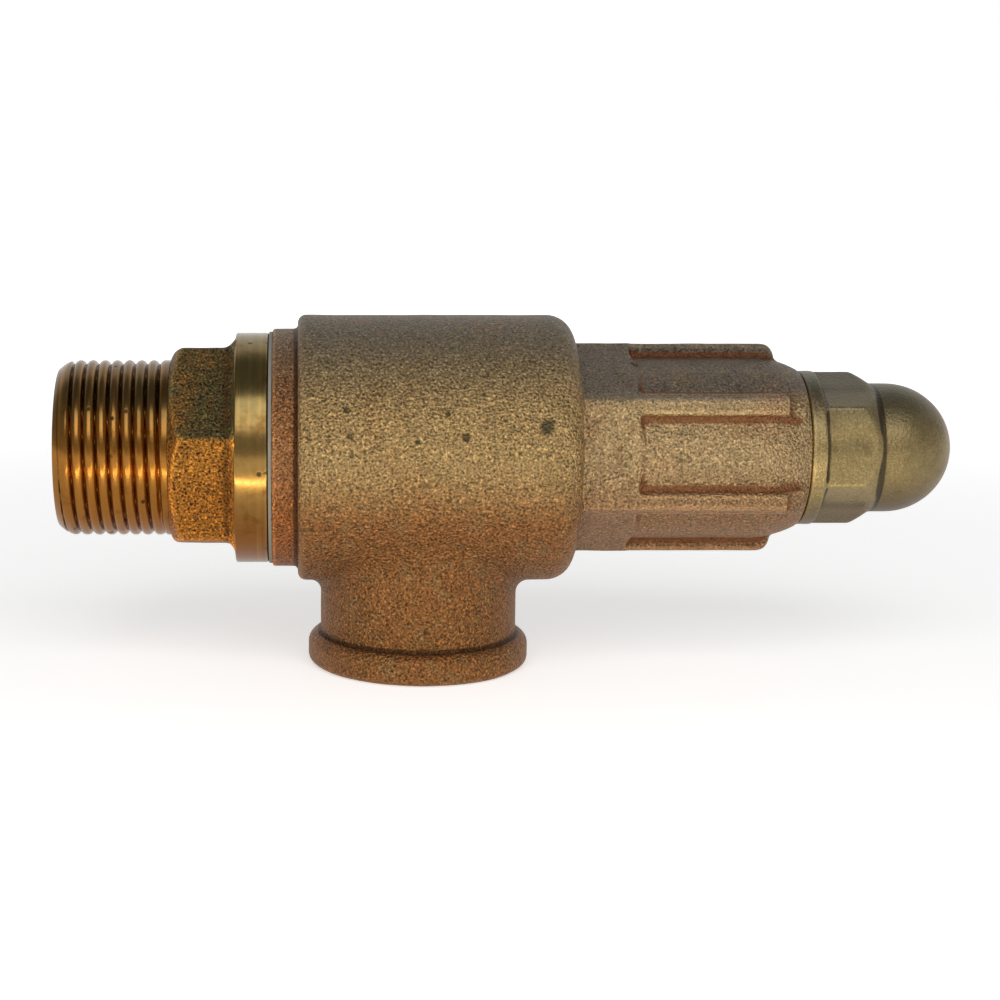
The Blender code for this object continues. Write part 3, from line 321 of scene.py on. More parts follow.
def spun(name, outline, steps=96):
    """Spin a closed outline of (station, radius) points round the valve's axis."""
    sketch = bmesh.new()
    points = [sketch.verts.new(world(s, 0.0, radius)) for s, radius in outline]
    edges = []
    for index, point in enumerate(points):
        following = (index + 1) % len(points)
        if outline[index][1] > 0 or outline[following][1] > 0:
            edges.append(sketch.edges.new((point, points[following])))
    bmesh.ops.spin(
        sketch, geom=points + edges, cent=world(0.0), axis=(1, 0, 0), dvec=(0, 0, 0), angle=2 * math.pi,
        steps=steps, use_merge=True, use_duplicate=False,
    )
    bmesh.ops.remove_doubles(sketch, verts=sketch.verts, dist=0.000001)
    bmesh.ops.recalc_face_normals(sketch, faces=sketch.faces)
    mesh = bpy.data.meshes.new(name)
    sketch.to_mesh(mesh)
    sketch.free()
    return new_piece(mesh, name)


def radial(points):
    """Station, distance along Y, height over the axis and radius of points, in millimetres."""
    s = (points[:, 0] - INLET_X) / MM
    y = points[:, 1] / MM
    up = (points[:, 2] - AXIS_Z) / MM
    return s, y, up, np.hypot(y, up)


def read_points(mesh):
    """A mesh's vertices as an array."""
    points = np.empty(len(mesh.vertices) * 3, np.float32)
    mesh.vertices.foreach_get("co", points)
    return points.reshape(-1, 3).astype(float)


def write_points(mesh, points):
    """Put an array back into a mesh's vertices."""
    mesh.vertices.foreach_set("co", points.astype(np.float32).ravel())
    mesh.update()


def cut_thread(item, start, end, pitch, depth, crest, outward=True):
    """Move a piece's outer points inwards (or its inner ones outwards) along a helical groove."""
    points = read_points(item.data)
    s, y, up, r = radial(points)
    turn = np.arctan2(up, y) / (2 * math.pi)
    phase = np.abs((s / pitch - turn) % 1.0 - 0.5) * 2.0
    profile = phase ** GROOVE_POWER
    groove = depth * profile
    fade = np.clip((end - s) / THREAD_RUNOUT, 0.0, 1.0)
    on_thread = (s > start) & (s < end)
    if outward:
        wanted = np.minimum(r, crest - groove * fade)
        on_thread &= r > crest - depth - THREAD_GRIP
    else:
        wanted = np.maximum(r, crest + groove * fade)
        on_thread &= r < crest + BORE_GRIP
    scale = np.where(on_thread, wanted / np.maximum(r, 0.001), 1.0)
    points[:, 1] *= scale
    points[:, 2] = AXIS_Z + (points[:, 2] - AXIS_Z) * scale
    write_points(item.data, points)
    # The thread's grooves are marked for painted shade.
    mark_shade_and_highlight(item, np.where(on_thread, -profile * fade, 0.0))


def mark_shade_and_highlight(item, values):
    """Keep with each point how far it is a hollow (below 0), for painted shade, or an edge (above 0), for
    painted highlight.
    """
    layer = item.data.attributes.new("wear", "FLOAT", "POINT")
    layer.data.foreach_set("value", values.astype(np.float32))


def mark_form_shade_and_highlight(item, form, reach=0.8):
    """Mark the hollows of a casting for painted shade and its edges for painted highlight, from the
    curvature of its form.
    """
    points = read_points(item.data)
    bend = -6.0 * form(points)
    for index in range(3):
        shift = np.zeros(3)
        shift[index] = reach * MM
        bend += form(points + shift) + form(points - shift)
    mark_shade_and_highlight(item, bend / reach ** 2)


# Rounded forms of the castings, as distances in millimetres from their surfaces


def join(a, b, fillet):
    """Both forms, with a fillet where they meet."""
    inside = np.hypot(np.maximum(fillet - a, 0.0), np.maximum(fillet - b, 0.0))
    return np.maximum(fillet, np.minimum(a, b)) - inside


def trim(a, b, rounding):
    """What both forms share, with a rounded edge where they meet."""
    outside = np.hypot(np.maximum(rounding + a, 0.0), np.maximum(rounding + b, 0.0))
    return np.minimum(-rounding, np.maximum(a, b)) + outside


def hexagonal(y, up, flats, corner, softness):
    """A hexagon about the axis with soft corners, one of them at an angle over the front."""
    total = np.zeros_like(y)
    for index in range(6):
        angle = corner + math.radians(30.0 + 60.0 * index)
        total += np.exp((-y * math.cos(angle) + up * math.sin(angle) - flats / 2) / softness)
    return softness * np.log(total)


def unevenness(points, size):
    """The slow waviness that sand leaves on a casting, about -1 to 1; size is its scale in millimetres."""
    total = np.zeros(len(points))
    rng = np.random.default_rng(7)
    for _ in range(9):
        direction = rng.normal(size=3)
        wave = 2 * math.pi / (size * MM * rng.uniform(0.6, 1.8))
        total += np.sin(points @ (direction / np.linalg.norm(direction)) * wave + rng.uniform(0, 6.3))
    return total / 5.0


def body_form(points):
    """Barrel, inlet collar and outlet branch of the valve body."""
    s, y, up, r = radial(points)
    barrel = trim(r - BARREL_RADIUS, BARREL_START - s, INLET_ROUNDING)
    barrel = trim(barrel, s - BARREL_END, BONNET_ROUNDING)
    collar = trim(r - BODY_COLLAR_RADIUS, BODY_FACE - s, BODY_COLLAR_ROUNDING)
    collar = trim(collar, s - BODY_END + BODY_COLLAR_INSET, BODY_FILLET)
    shell = join(barrel, collar, BODY_FILLET)
    around = np.hypot(s - OUTLET_STATION, y)
    neck = trim(around - OUTLET_NECK_RADIUS, up, HIDDEN_EDGE)
    neck = trim(neck, -OUTLET_REACH - up, EDGE)
    bead = trim(around - OUTLET_BEAD_RADIUS, up + OUTLET_REACH - OUTLET_BEAD_HEIGHT, BEAD_TOP_ROUNDING)
    bead = trim(bead, -OUTLET_REACH - up, BEAD_RIM_ROUNDING)
    branch = join(neck, bead, BODY_FILLET)
    return join(shell, branch, OUTLET_FILLET) + SAND_WAVE * unevenness(points, size=9)


def bonnet_form(points):
    """Spigot, hexagon, ribs, barrel and shoulder of the bonnet."""
    s, y, up, r = radial(points)
    flats = hexagonal(y, up, BONNET_FLATS, BONNET_CORNER, HEXAGON_SOFTNESS)
    kept = s - BONNET_HEX_END
    for degrees, width, end in RIB_PAIRS:
        angle = BONNET_CORNER + math.radians(degrees)
        rib = np.abs(y * math.sin(angle) + up * math.cos(angle)) - width / 2
        tip = trim(s - end, r - BONNET_FLATS / math.sqrt(3), RIB_END_ROUNDING)
        kept = join(kept, trim(rib, tip, RIB_ROUNDING), RIB_FILLET)
    block = trim(trim(flats, kept, EDGE), BONNET_HEX_START - s, FACE_EDGE)
    fall = DRUM_RADIUS - SHOULDER_RADIUS
    slope = math.hypot(SHOULDER_END - DRUM_END, fall)
    cone = ((r - DRUM_RADIUS) * (SHOULDER_END - DRUM_END) + (s - DRUM_END) * fall) / slope
    barrel = trim(r - DRUM_RADIUS, cone, DRUM_ROUNDING)
    barrel = trim(barrel, s - SHOULDER_END - SHOULDER_CLOSING, SHOULDER_ROUNDING)
    barrel = trim(barrel, BONNET_HEX_END - DRUM_INSET - s, 2 * HIDDEN_EDGE)
    outer = join(block, barrel, DRUM_FILLET) + SAND_WAVE * unevenness(points, size=8)
    spigot = trim(r - BONNET_SPIGOT, BONNET_START - s, EDGE)
    spigot = trim(spigot, s - SHOULDER_END + SPIGOT_INSET, HIDDEN_EDGE)
    return np.minimum(outer, spigot)


def cap_form(points):
    """Ring, hexagon and dome of the cap."""
    s, y, up, r = radial(points)
    ring = trim(trim(r - CAP_RING_RADIUS, CAP_FACE - s, EDGE), s - CAP_RING_END, CAP_EDGE)
    flats = hexagonal(y, up, CAP_FLATS, CAP_CORNER, HEXAGON_SOFTNESS)
    outwards, along = CAP_CHAMFER_SLOPE
    chamfer = (r - DOME_RADIUS - CAP_CHAMFER) * outwards + (s - CAP_HEX_END) * along
    block = trim(trim(flats, chamfer, CAP_EDGE), CAP_HEX_START - s, HIDDEN_EDGE)
    block = np.maximum(block, s - DOME_STATION)
    dome = np.where(s > DOME_STATION, np.hypot(r, s - DOME_STATION), r) - DOME_RADIUS
    dome = trim(dome, DOME_START - s, HIDDEN_EDGE)
    return join(join(block, ring, CAP_RING_FILLET), dome, CAP_EDGE) + CAP_WAVE * unevenness(points, size=7)


def nozzle_hexagon_form(points):
    """The nozzle's cast hexagon and the hollow flare up to its collar."""
    s, y, up, r = radial(points)
    flats = hexagonal(y, up, HEX_FLATS, HEX_CORNER, HEX_SOFTNESS)
    outwards, along = HEX_CHAMFER_SLOPE
    chamfer = (r - HEX_FLATS / 2 + HEX_CHAMFER) * outwards - (s - THREAD_LENGTH) * along
    block = trim(trim(flats, chamfer, HEX_EDGE), THREAD_LENGTH - s, FACE_EDGE)
    disc = trim(r - COLLAR_RADIUS + HEX_DISC_INSET, COLLAR_START - s, FACE_EDGE)
    form = join(block, disc, HEX_FLARE)
    return np.maximum(form, s - COLLAR_START - HEX_DISC_LENGTH) + SAND_WAVE * unevenness(points, size=6)


def rough_drum(sketch, start, end, radius, segments=64, turn=0.0):
    """Add a closed drum along the valve to a sketch."""
    place = Matrix.Translation(world((start + end) / 2)) @ Matrix.Rotation(math.pi / 2, 4, "Y")
    bmesh.ops.create_cone(
        sketch, cap_ends=True, segments=segments, radius1=radius * MM, radius2=radius * MM,
        depth=(end - start) * MM, matrix=place @ Matrix.Rotation(turn, 4, "Z"),
    )


def rough_post(sketch, low, high, radius):
    """Add a closed post along the outlet's axis to a sketch."""
    place = Matrix.Translation(world(OUTLET_STATION, 0.0, (low + high) / 2))
    bmesh.ops.create_cone(
        sketch, cap_ends=True, segments=64, radius1=radius * MM, radius2=radius * MM,
        depth=(high - low) * MM, matrix=place,
    )


def rough_bar(sketch, start, end, width, reach, angle):
    """Add a closed bar across the axis, from corner to corner of a hexagon, to a sketch."""
    place = Matrix.Translation(world((start + end) / 2)) @ Matrix.Rotation(angle, 4, "X")
    size = Matrix.Diagonal(((end - start) * MM, width * MM, 2 * reach * MM, 1.0))
    bmesh.ops.create_cube(sketch, size=1.0, matrix=place @ size)


def casting(name, rough, form, grain):
    """Skin a rough sketch with an even mesh, and draw the skin onto the casting's true form."""
    mesh = bpy.data.meshes.new(name)
    rough.to_mesh(mesh)
    rough.free()
    item = new_piece(mesh, name)
    skin = item.modifiers.new("skin", "REMESH")
    skin.mode = "VOXEL"
    skin.voxel_size = grain * MM
    mesh = evaluated(item)
    points = read_points(mesh)
    for _ in range(CASTING_ROUNDS):
        for _ in range(CASTING_STEPS):
            value = form(points)
            slope = np.empty_like(points)
            for index in range(3):
                shift = np.zeros(3)
                shift[index] = PROBE * MM
                slope[:, index] = (form(points + shift) - value) / PROBE
            length = np.maximum((slope ** 2).sum(axis=1), 0.05)
            move = np.clip(value / length, -LONGEST_STEP, LONGEST_STEP)
            points -= slope * move[:, None] * MM
        write_points(mesh, points)
        sketch = bmesh.new()
        sketch.from_mesh(mesh)
        bmesh.ops.smooth_vert(
            sketch, verts=sketch.verts, factor=0.25, use_axis_x=True, use_axis_y=True, use_axis_z=True
        )
        sketch.to_mesh(mesh)
        sketch.free()
        relaxed = read_points(mesh)
        normal = slope / np.sqrt(length)[:, None]
        points = relaxed - normal * ((relaxed - points) * normal).sum(axis=1)[:, None]
    write_points(mesh, points)
    return new_piece(mesh, name)


class Socket:
    """A node's socket with arithmetic: an expression on sockets adds its Math nodes."""

    def __init__(self, owner, socket):
        self.owner = owner
        self.socket = socket

    def math(self, operation, first, second=0.0):
        return self.owner.node("ShaderNodeMath", {"operation": operation}, {0: first, 1: second})

    def __add__(self, other):
        return self.math("ADD", self, other)

    def __radd__(self, other):
        return self.math("ADD", other, self)

    def __sub__(self, other):
        return self.math("SUBTRACT", self, other)

    def __rsub__(self, other):
        return self.math("SUBTRACT", other, self)

    def __mul__(self, other):
        return self.math("MULTIPLY", self, other)

    def __rmul__(self, other):
        return self.math("MULTIPLY", other, self)


class Tree:
    """A node tree; one call adds a node with its settings and its sockets."""

    def __init__(self, tree):
        self.tree = tree

    def node(self, kind, settings=None, inputs=None, output=0):
        """Add a node: first its settings, then the values or links of its sockets."""
        made = self.tree.nodes.new(kind)
        for key, value in (settings or {}).items():
            setattr(made, key, value)
        for key, value in (inputs or {}).items():
            self.feed(made.inputs[key], value)
        return Socket(self, made.outputs[output])

    def feed(self, target, value):
        """Link a socket, or set its value."""
        if isinstance(value, Socket):
            self.tree.links.new(value.socket, target)
        elif isinstance(value, tuple) and len(value) == 3 and len(target.default_value) == 4:
            target.default_value = (*value, 1.0)
        else:
            target.default_value = value

    def mask(self, value, low, high):
        """A soft step of a value between two limits."""
        return self.node(
            "ShaderNodeMapRange", {"interpolation_type": "SMOOTHSTEP"},
            {"Value": value, "From Min": low, "From Max": high},
        )

    def blend(self, factor, first, second):
        """Mix two colours."""
        return self.node("ShaderNodeMix", {"data_type": "RGBA"}, {0: factor, 6: first, 7: second}, output=2)


class Finish(Tree):
    """One procedural material on object coordinates in metres."""

    def __init__(self, name, metallic, roughness, lean=0.0):
        self.lean = lean
        self.material = bpy.data.materials.new(name)
        self.material.use_nodes = True
        super().__init__(self.material.node_tree)
        self.surface = self.tree.nodes["Principled BSDF"]
        self.paint("Metallic", metallic)
        self.paint("Roughness", roughness)
        self.place = self.node("ShaderNodeTexCoord", output="Object")

    def paint(self, name, value):
        """Feed one of the surface's sockets."""
        self.feed(self.surface.inputs[name], value)

    def noise(self, scale, detail=3.0, roughness=0.55, place=None):
        """Noise from 0 to 1; scale counts features per metre."""
        return self.node(
            "ShaderNodeTexNoise", None,
            {"Vector": place or self.place, "Scale": scale, "Detail": detail, "Roughness": roughness},
        )

    def cells(self, scale, feature="F1"):
        """The distance from the middle of the nearest of scale cells per metre."""
        return self.node(
            "ShaderNodeTexVoronoi", {"feature": feature}, {"Vector": self.place, "Scale": scale},
            output="Distance",
        )

    def stretched(self, along, across):
        """Object coordinates stretched along the valve and across it."""
        return self.node(
            "ShaderNodeVectorMath", {"operation": "MULTIPLY"}, {0: self.place, 1: (along, across, across)}
        )

    def height(self, low, high):
        """A soft step of the height in millimetres over the valve's axis, or over a leaning plane."""
        up = self.node("ShaderNodeSeparateXYZ", None, {0: self.place}, output=2)
        if self.lean:
            up = up + self.node("ShaderNodeSeparateXYZ", None, {0: self.place}, output=1) * self.lean
        return self.mask(up, AXIS_Z + low * MM, AXIS_Z + high * MM)

    def scaled(self, colour, level):
        """A colour made darker or lighter by a value."""
        return self.node("ShaderNodeVectorMath", {"operation": "SCALE"}, {0: colour, "Scale": level})

    def wear(self):
        """Below 0 in the piece's hollows, where shade is painted, and above 0 on its edges, where highlight
        is painted.
        """
        return self.node("ShaderNodeAttribute", {"attribute_name": "wear"}, output=2)

    def bump(self, height, distance):
        """Feed the surface's normal from a height."""
        self.paint("Normal", self.node("ShaderNodeBump", None, {"Height": height, "Distance": distance}))
        return self.material


def shade(colour, factor):
    """A colour made darker or lighter."""
    return tuple(min(1.0, factor * part) for part in colour)


# Tints of the dark marks on the bronze and the brass
STAIN_DARK = (0.035, 0.034, 0.02)
PIT_DARK = (0.03, 0.026, 0.016)
SPECK_DARK = (0.03, 0.02, 0.01)


def cast_bronze(
    name, above, middle, below, turns=(-12.0, 2.0, 9.0, 25.0), grain_scale=2300.0, relief=0.0007,
    grit=1.15, roughness=0.5, hollow=None, spots=(), lean=0.0,
):
    """Sand-cast bronze: pebbled grain, a tint that changes with the height as painted light (painted shade
    above, a painted warm reflection below), painted shade in hollows, painted highlight on edges and a few
    pits.

    The tints change at the heights in turns, in millimetres; grit is the grain's contrast, relief its bump;
    hollow is the colour of the painted shade in hollows.
    """
    finish = Finish(name, 0.8, roughness, lean)
    grain = finish.noise(grain_scale, detail=2.0, roughness=0.5)
    pebble = finish.cells(grain_scale * 0.8, "SMOOTH_F1")
    patches = finish.noise(70.0, detail=3.0, roughness=0.6)
    blotches = finish.noise(330.0, detail=2.0, roughness=0.5)
    # Painted light by height: shade above, the lit tone in the middle, a warm reflection below.
    tint = finish.blend(finish.height(turns[0], turns[1]), below, middle)
    tint = finish.blend(finish.height(turns[2], turns[3]), tint, above)
    tint = finish.blend(finish.mask(patches, 0.5, 0.75) * 0.5, tint, shade(below, 1.1))
    tint = finish.blend(finish.mask(blotches, 0.5, 0.3) * 0.4, tint, shade(middle, 0.6))
    wear = finish.wear()
    dips = finish.mask(grain, 0.52, 0.3) * 0.6 * grit
    level = 1.0 - dips + finish.mask(grain, 0.53, 0.75) * 1.1 * grit
    # Painted highlight on the edges.
    level = level + finish.mask(wear, 0.4, 1.4) * 0.45 * grit
    tint = finish.scaled(tint, level)
    # Painted shade in the hollows.
    tint = finish.blend(finish.mask(wear, -0.14, -0.65) * 0.85, tint, hollow or shade(below, 0.2))
    for spot, reach in spots:
        ends = {0: finish.place, 1: spot}
        distance = finish.node("ShaderNodeVectorMath", {"operation": "DISTANCE"}, ends, output=1)
        stain = finish.mask(distance + (blotches - 0.5) * 0.0016, reach * MM, reach * 0.4 * MM)
        tint = finish.blend(stain * 0.8, tint, STAIN_DARK)
    pit = finish.mask(finish.cells(90.0), 0.09, 0.05) * finish.mask(finish.noise(40.0, 1.0), 0.5, 0.6)
    tint = finish.blend(pit * 0.8, tint, PIT_DARK)
    finish.paint("Base Color", tint)
    finish.paint("Roughness", roughness + (grain - 0.5) * 0.3)
    return finish.bump(grain * 0.8 - pebble * 0.5 + blotches * 0.5 - pit * 0.8, relief)


def turned_brass(name, above, middle, below, roughness):
    """Turned brass: fine rings round the axis, stains, small dark pits, a tint painted darker above and
    warmer below as shade and reflection, and painted shade in the thread's grooves.
    """
    finish = Finish(name, 1.0, roughness)
    rings = finish.noise(1.0, 2.0, 0.7, finish.stretched(along=9000.0, across=120.0))
    bands = finish.noise(1.0, 2.0, 0.5, finish.stretched(along=1400.0, across=18.0))
    stains = finish.noise(230.0, 4.0, 0.65)
    # Painted light by height: shade above, a warm reflection below.
    tint = finish.blend(finish.height(-14.0, -2.0), below, middle)
    tint = finish.blend(finish.height(1.0, 12.0), tint, above)
    tint = finish.blend(finish.mask(bands, 0.4, 0.7) * 0.4, tint, shade(middle, 1.25))
    tint = finish.blend(finish.mask(stains, 0.5, 0.75) * 0.7, tint, shade(below, 0.5))
    speck = finish.mask(finish.cells(330.0), 0.2, 0.1) * finish.mask(finish.noise(120.0, 1.0), 0.5, 0.6)
    tint = finish.blend(speck * 0.85, tint, SPECK_DARK)
    # Painted shade in the thread's grooves.
    tint = finish.blend(finish.mask(finish.wear(), -0.5, -1.0) * 0.7, tint, shade(below, 0.3))
    finish.paint("Base Color", tint)
    finish.paint("Roughness", roughness + (rings - 0.5) * 0.25 + (stains - 0.5) * 0.2 + speck * 0.3)
    return finish.bump(rings + bands * 0.8 - speck * 2.0, 0.00001)


def bright_steel(name, colour, roughness):
    """Turned stainless steel with faint rings and handling marks."""
    finish = Finish(name, 1.0, roughness)
    rings = finish.noise(1.0, 2.0, 0.6, finish.stretched(along=6000.0, across=150.0))
    marks = finish.noise(220.0, 4.0, 0.6)
    finish.paint("Base Color", finish.blend(marks, colour, shade(colour, 0.7)))
    finish.paint("Roughness", roughness + (rings - 0.5) * 0.3 + (marks - 0.5) * 0.2)
    return finish.bump(rings, 0.000008)


def threaded_steel(name, colour, roughness, pitch):
    """Stainless steel with a helical thread of a pitch in metres round the valve's axis, its grooves
    darkened as painted shade.
    """
    finish = Finish(name, 1.0, roughness)
    place = finish.node("ShaderNodeVectorMath", {"operation": "SUBTRACT"}, {0: finish.place, 1: world(0.0)})
    along, across, up = (
        finish.node("ShaderNodeSeparateXYZ", None, {0: place}, output=axis) for axis in range(3)
    )
    turn = finish.node("ShaderNodeMath", {"operation": "ARCTAN2"}, {0: up, 1: across})
    ridge = finish.node("ShaderNodeMath", {"operation": "SINE"}, {0: along * (2 * math.pi / pitch) - turn})
    marks = finish.noise(300.0, 4.0, 0.6)
    # Painted shade in the thread's grooves.
    tint = finish.blend(finish.mask(ridge, -0.2, -0.9) * 0.7, colour, shade(colour, 0.35))
    finish.paint("Base Color", finish.blend(marks * 0.5, tint, shade(colour, 0.6)))
    finish.paint("Roughness", roughness + (marks - 0.5) * 0.2)
    return finish.bump(ridge * 0.5 + marks * 0.05, 0.0012)


def matt_sheet(name, colour, roughness):
    """Pressed fibre or a soft seal: fine mottling and a faint surface."""
    finish = Finish(name, 0.0, roughness)
    fibres = finish.noise(2600.0, 4.0, 0.7)
    stains = finish.noise(180.0, 3.0, 0.6)
    tint = finish.blend(fibres * 0.5, colour, shade(colour, 0.6))
    tint = finish.blend(stains * 0.3, tint, shade(colour, 0.5))
    finish.paint("Base Color", tint)
    finish.paint("Roughness", roughness + (fibres - 0.5) * 0.2)
    return finish.bump(fibres, 0.00003)


# Dark casting pits and one large stain on the front of the body, with their radii in millimetres
BODY_SPOTS = (
    (world(53.8, -23.0, 10.4), 0.7), (world(54.4, -24.5, 6.0), 0.9), (world(54.9, -25.1, 2.4), 0.6),
    (world(66.6, -24.7, 5.0), 0.6), (world(90.0, -24.0, 7.6), 1.9),
)

# The three tints of each bronze are painted light: lit and shaded tones for its top, middle and underside.
BODY_BRONZE = cast_bronze(
    "body_bronze", (0.15, 0.12, 0.08), (0.355, 0.24, 0.105), (0.23, 0.102, 0.033), spots=BODY_SPOTS,
)
BODY_COLLAR_BRONZE = cast_bronze(
    "body_collar_bronze", (0.18, 0.12, 0.07), (0.28, 0.13, 0.052), (0.28, 0.1, 0.026),
)
# The bonnet's hollow tint is the colour of the painted shade in its hollows.
BONNET_BRONZE = cast_bronze(
    "bonnet_bronze", (0.155, 0.12, 0.086), (0.40, 0.285, 0.147), (0.26, 0.14, 0.068),
    turns=(-12.0, 2.0, 9.5, 13.0), grit=0.95, hollow=(0.19, 0.07, 0.026),
)
# The hexagon's upper facets take painted shade and its lower facets a painted warm reflection, split along
# a plane that leans with the hexagon's corner.
HEX_BRONZE = cast_bronze(
    "hexagon_bronze", (0.10, 0.075, 0.025), (0.38, 0.16, 0.024), (0.35, 0.135, 0.018),
    turns=(-12.0, -4.0, -0.6, 0.8), relief=0.0009, grit=1.6, lean=math.tan(HEX_CORNER),
)
CAP_BRONZE = cast_bronze(
    "cap_bronze", (0.11, 0.10, 0.065), (0.31, 0.23, 0.10), (0.15, 0.105, 0.055),
    turns=(-13.0, -4.0, 4.0, 13.0), grain_scale=2600.0, relief=0.0001, grit=0.4, roughness=0.42,
)
# A darker copy of the cap's bronze: painted shade on the dome.
DOME_BRONZE = cast_bronze(
    "dome_bronze", (0.10, 0.09, 0.055), (0.25, 0.185, 0.082), (0.12, 0.082, 0.045),
    turns=(-12.0, -3.0, 3.0, 12.0), grain_scale=2600.0, relief=0.0001, grit=0.3, roughness=0.42,
)
# The brass's three tints are painted light too: lit and shaded tones for its top, middle and underside.
THREAD_BRASS = turned_brass(
    "thread_brass", (0.13, 0.08, 0.028), (0.29, 0.125, 0.024), (0.26, 0.10, 0.016), 0.24,
)
COLLAR_BRASS = turned_brass(
    "collar_brass", (0.175, 0.13, 0.05), (0.265, 0.155, 0.045), (0.21, 0.083, 0.018), 0.21,
)
GUIDE_BRASS = bright_steel("guide_brass", (0.42, 0.27, 0.09), 0.3)
STEEL = bright_steel("stainless_steel", (0.56, 0.55, 0.53), 0.3)
SCREW_STEEL = threaded_steel("screw_steel", (0.56, 0.55, 0.53), 0.3, SCREW_PITCH * MM)
SPRING_STEEL = bright_steel("spring_steel", (0.3, 0.29, 0.28), 0.4)
FIBRE = matt_sheet("gasket_fibre", (0.3, 0.29, 0.26), 0.75)
SEAL = matt_sheet("seal_white", (0.82, 0.81, 0.78), 0.45)


def make_nozzle():
    """Thread, core, collar, spigot and seat, spun as one piece."""
    rim = COLLAR_RADIUS - COLLAR_ROUNDING
    outline = [(0.0, INLET_BORE + INLET_BREAK), (INLET_BREAK, INLET_BORE), (THROAT_START, INLET_BORE)]
    outline += [(THROAT_END, SEAT_BORE), (SEAT, SEAT_BORE), (SEAT, SEAT_LIP)]
    outline += [(SEAT - SEAT_LIP_LENGTH, SEAT_LIP), (SPIGOT_END, SEAT_FOOT)]
    outline += [(SPIGOT_END, SPIGOT_RADIUS - SPIGOT_BREAK), (SPIGOT_END - SPIGOT_BREAK, SPIGOT_RADIUS)]
    outline += [(COLLAR_END, SPIGOT_RADIUS), (COLLAR_END, rim)]
    outline += arc((COLLAR_END - COLLAR_ROUNDING, rim), COLLAR_ROUNDING, 0.0, 90.0, 3)
    outline += arc((COLLAR_START + COLLAR_ROUNDING, rim), COLLAR_ROUNDING, 90.0, 180.0, 3)
    outline += [(COLLAR_START, CORE_RADIUS), (THREAD_LENGTH + OVERLAP, CORE_RADIUS)]
    outline += [(THREAD_LENGTH, CORE_RADIUS)]
    count = 200
    for index in range(count + 1):
        s = (THREAD_LENGTH - THREAD_SHOULDER) * (1 - index / count)
        fall = max(0.0, 1.0 - s / END_ROUNDING)
        outline.append((s, PIPE_THREAD_RADIUS - END_CHAMFER * fall * fall))
    nozzle = spun("nozzle", outline, steps=200)
    cut_thread(nozzle, -OVERLAP, THREAD_LAST, PIPE_THREAD_PITCH, PIPE_THREAD_DEPTH, PIPE_THREAD_RADIUS)
    dress(smooth(nozzle), "valve", "bright_brass", THREAD_BRASS, "inlet_nozzle")
    nozzle.data.materials.append(COLLAR_BRASS)
    for face in nozzle.data.polygons:
        if station(face.center.x) > COLLAR_START - HIDDEN_EDGE:
            face.material_index = 1


def make_nozzle_hexagon():
    """The nozzle's cast hexagon, round the spun core."""
    rough = bmesh.new()
    rough_drum(rough, THREAD_LENGTH, COLLAR_START, HEX_FLATS / math.sqrt(3), 6, -HEX_CORNER)
    rough_drum(rough, COLLAR_START - OVERLAP, COLLAR_START + FACE_EDGE, COLLAR_RADIUS)
    block = casting("nozzle_hexagon", rough, nozzle_hexagon_form, grain=0.42)
    start = THREAD_LENGTH - CUT_PAST - OVERLAP
    end = COLLAR_START + CUT_PAST + OVERLAP
    block = cut(block, spun("hexagon_bore", [(start, 0.0), (end, 0.0), (end, HEX_BORE), (start, HEX_BORE)]))
    mark_form_shade_and_highlight(block, nozzle_hexagon_form)
    dress(smooth(block, CASTING_ANGLE), "valve", "cast_bronze", HEX_BRONZE, "inlet_nozzle")


def make_body():
    """The body casting, with its passages and the outlet's mouth cut out."""
    rough = bmesh.new()
    rough_drum(rough, BARREL_START, BARREL_END, BARREL_RADIUS, 96)
    rough_drum(rough, BODY_FACE, BARREL_START + 3 * OVERLAP, BODY_COLLAR_RADIUS, 96)
    rough_post(rough, -OUTLET_REACH, -2 * OVERLAP, OUTLET_NECK_RADIUS)
    rough_post(rough, -OUTLET_REACH, OUTLET_BEAD_HEIGHT - OUTLET_REACH, OUTLET_BEAD_RADIUS)
    body = casting("body", rough, body_form, grain=0.55)
    start = BODY_START - CUT_PAST
    end = BODY_END + CUT_PAST
    near, near_step = CHAMBER_START_BREAK
    far, far_step = CHAMBER_END_BREAK
    passage = [(start, 0.0), (start, NOZZLE_BORE), (CHAMBER_START, NOZZLE_BORE)]
    passage += [(CHAMBER_START, CHAMBER_RADIUS - near_step), (CHAMBER_START + near, CHAMBER_RADIUS)]
    passage += [(CHAMBER_END - far, CHAMBER_RADIUS), (CHAMBER_END, CHAMBER_RADIUS - far_step)]
    passage += [(CHAMBER_END, GUIDE_HOLE), (GUIDE_HOLE_END, GUIDE_HOLE), (GUIDE_HOLE_END, BONNET_SEAT)]
    passage += [(end, BONNET_SEAT), (end, 0.0)]
    outlet = bmesh.new()
    rough_post(outlet, -OUTLET_REACH - CUT_PAST, OUTLET_SOCKET_TOP, OUTLET_SOCKET)
    mesh = bpy.data.meshes.new("outlet_bore")
    outlet.to_mesh(mesh)
    outlet.free()
    body = cut(body, spun("body_passage", passage), new_piece(mesh, "outlet_bore"))
    mark_form_shade_and_highlight(body, body_form)
    dress(smooth(body, CASTING_ANGLE), "valve", "cast_bronze", BODY_BRONZE, "valve_body")
    body.data.materials.append(BODY_COLLAR_BRONZE)
    for face in body.data.polygons:
        if station(face.center.x) < BARREL_START:
            face.material_index = 1


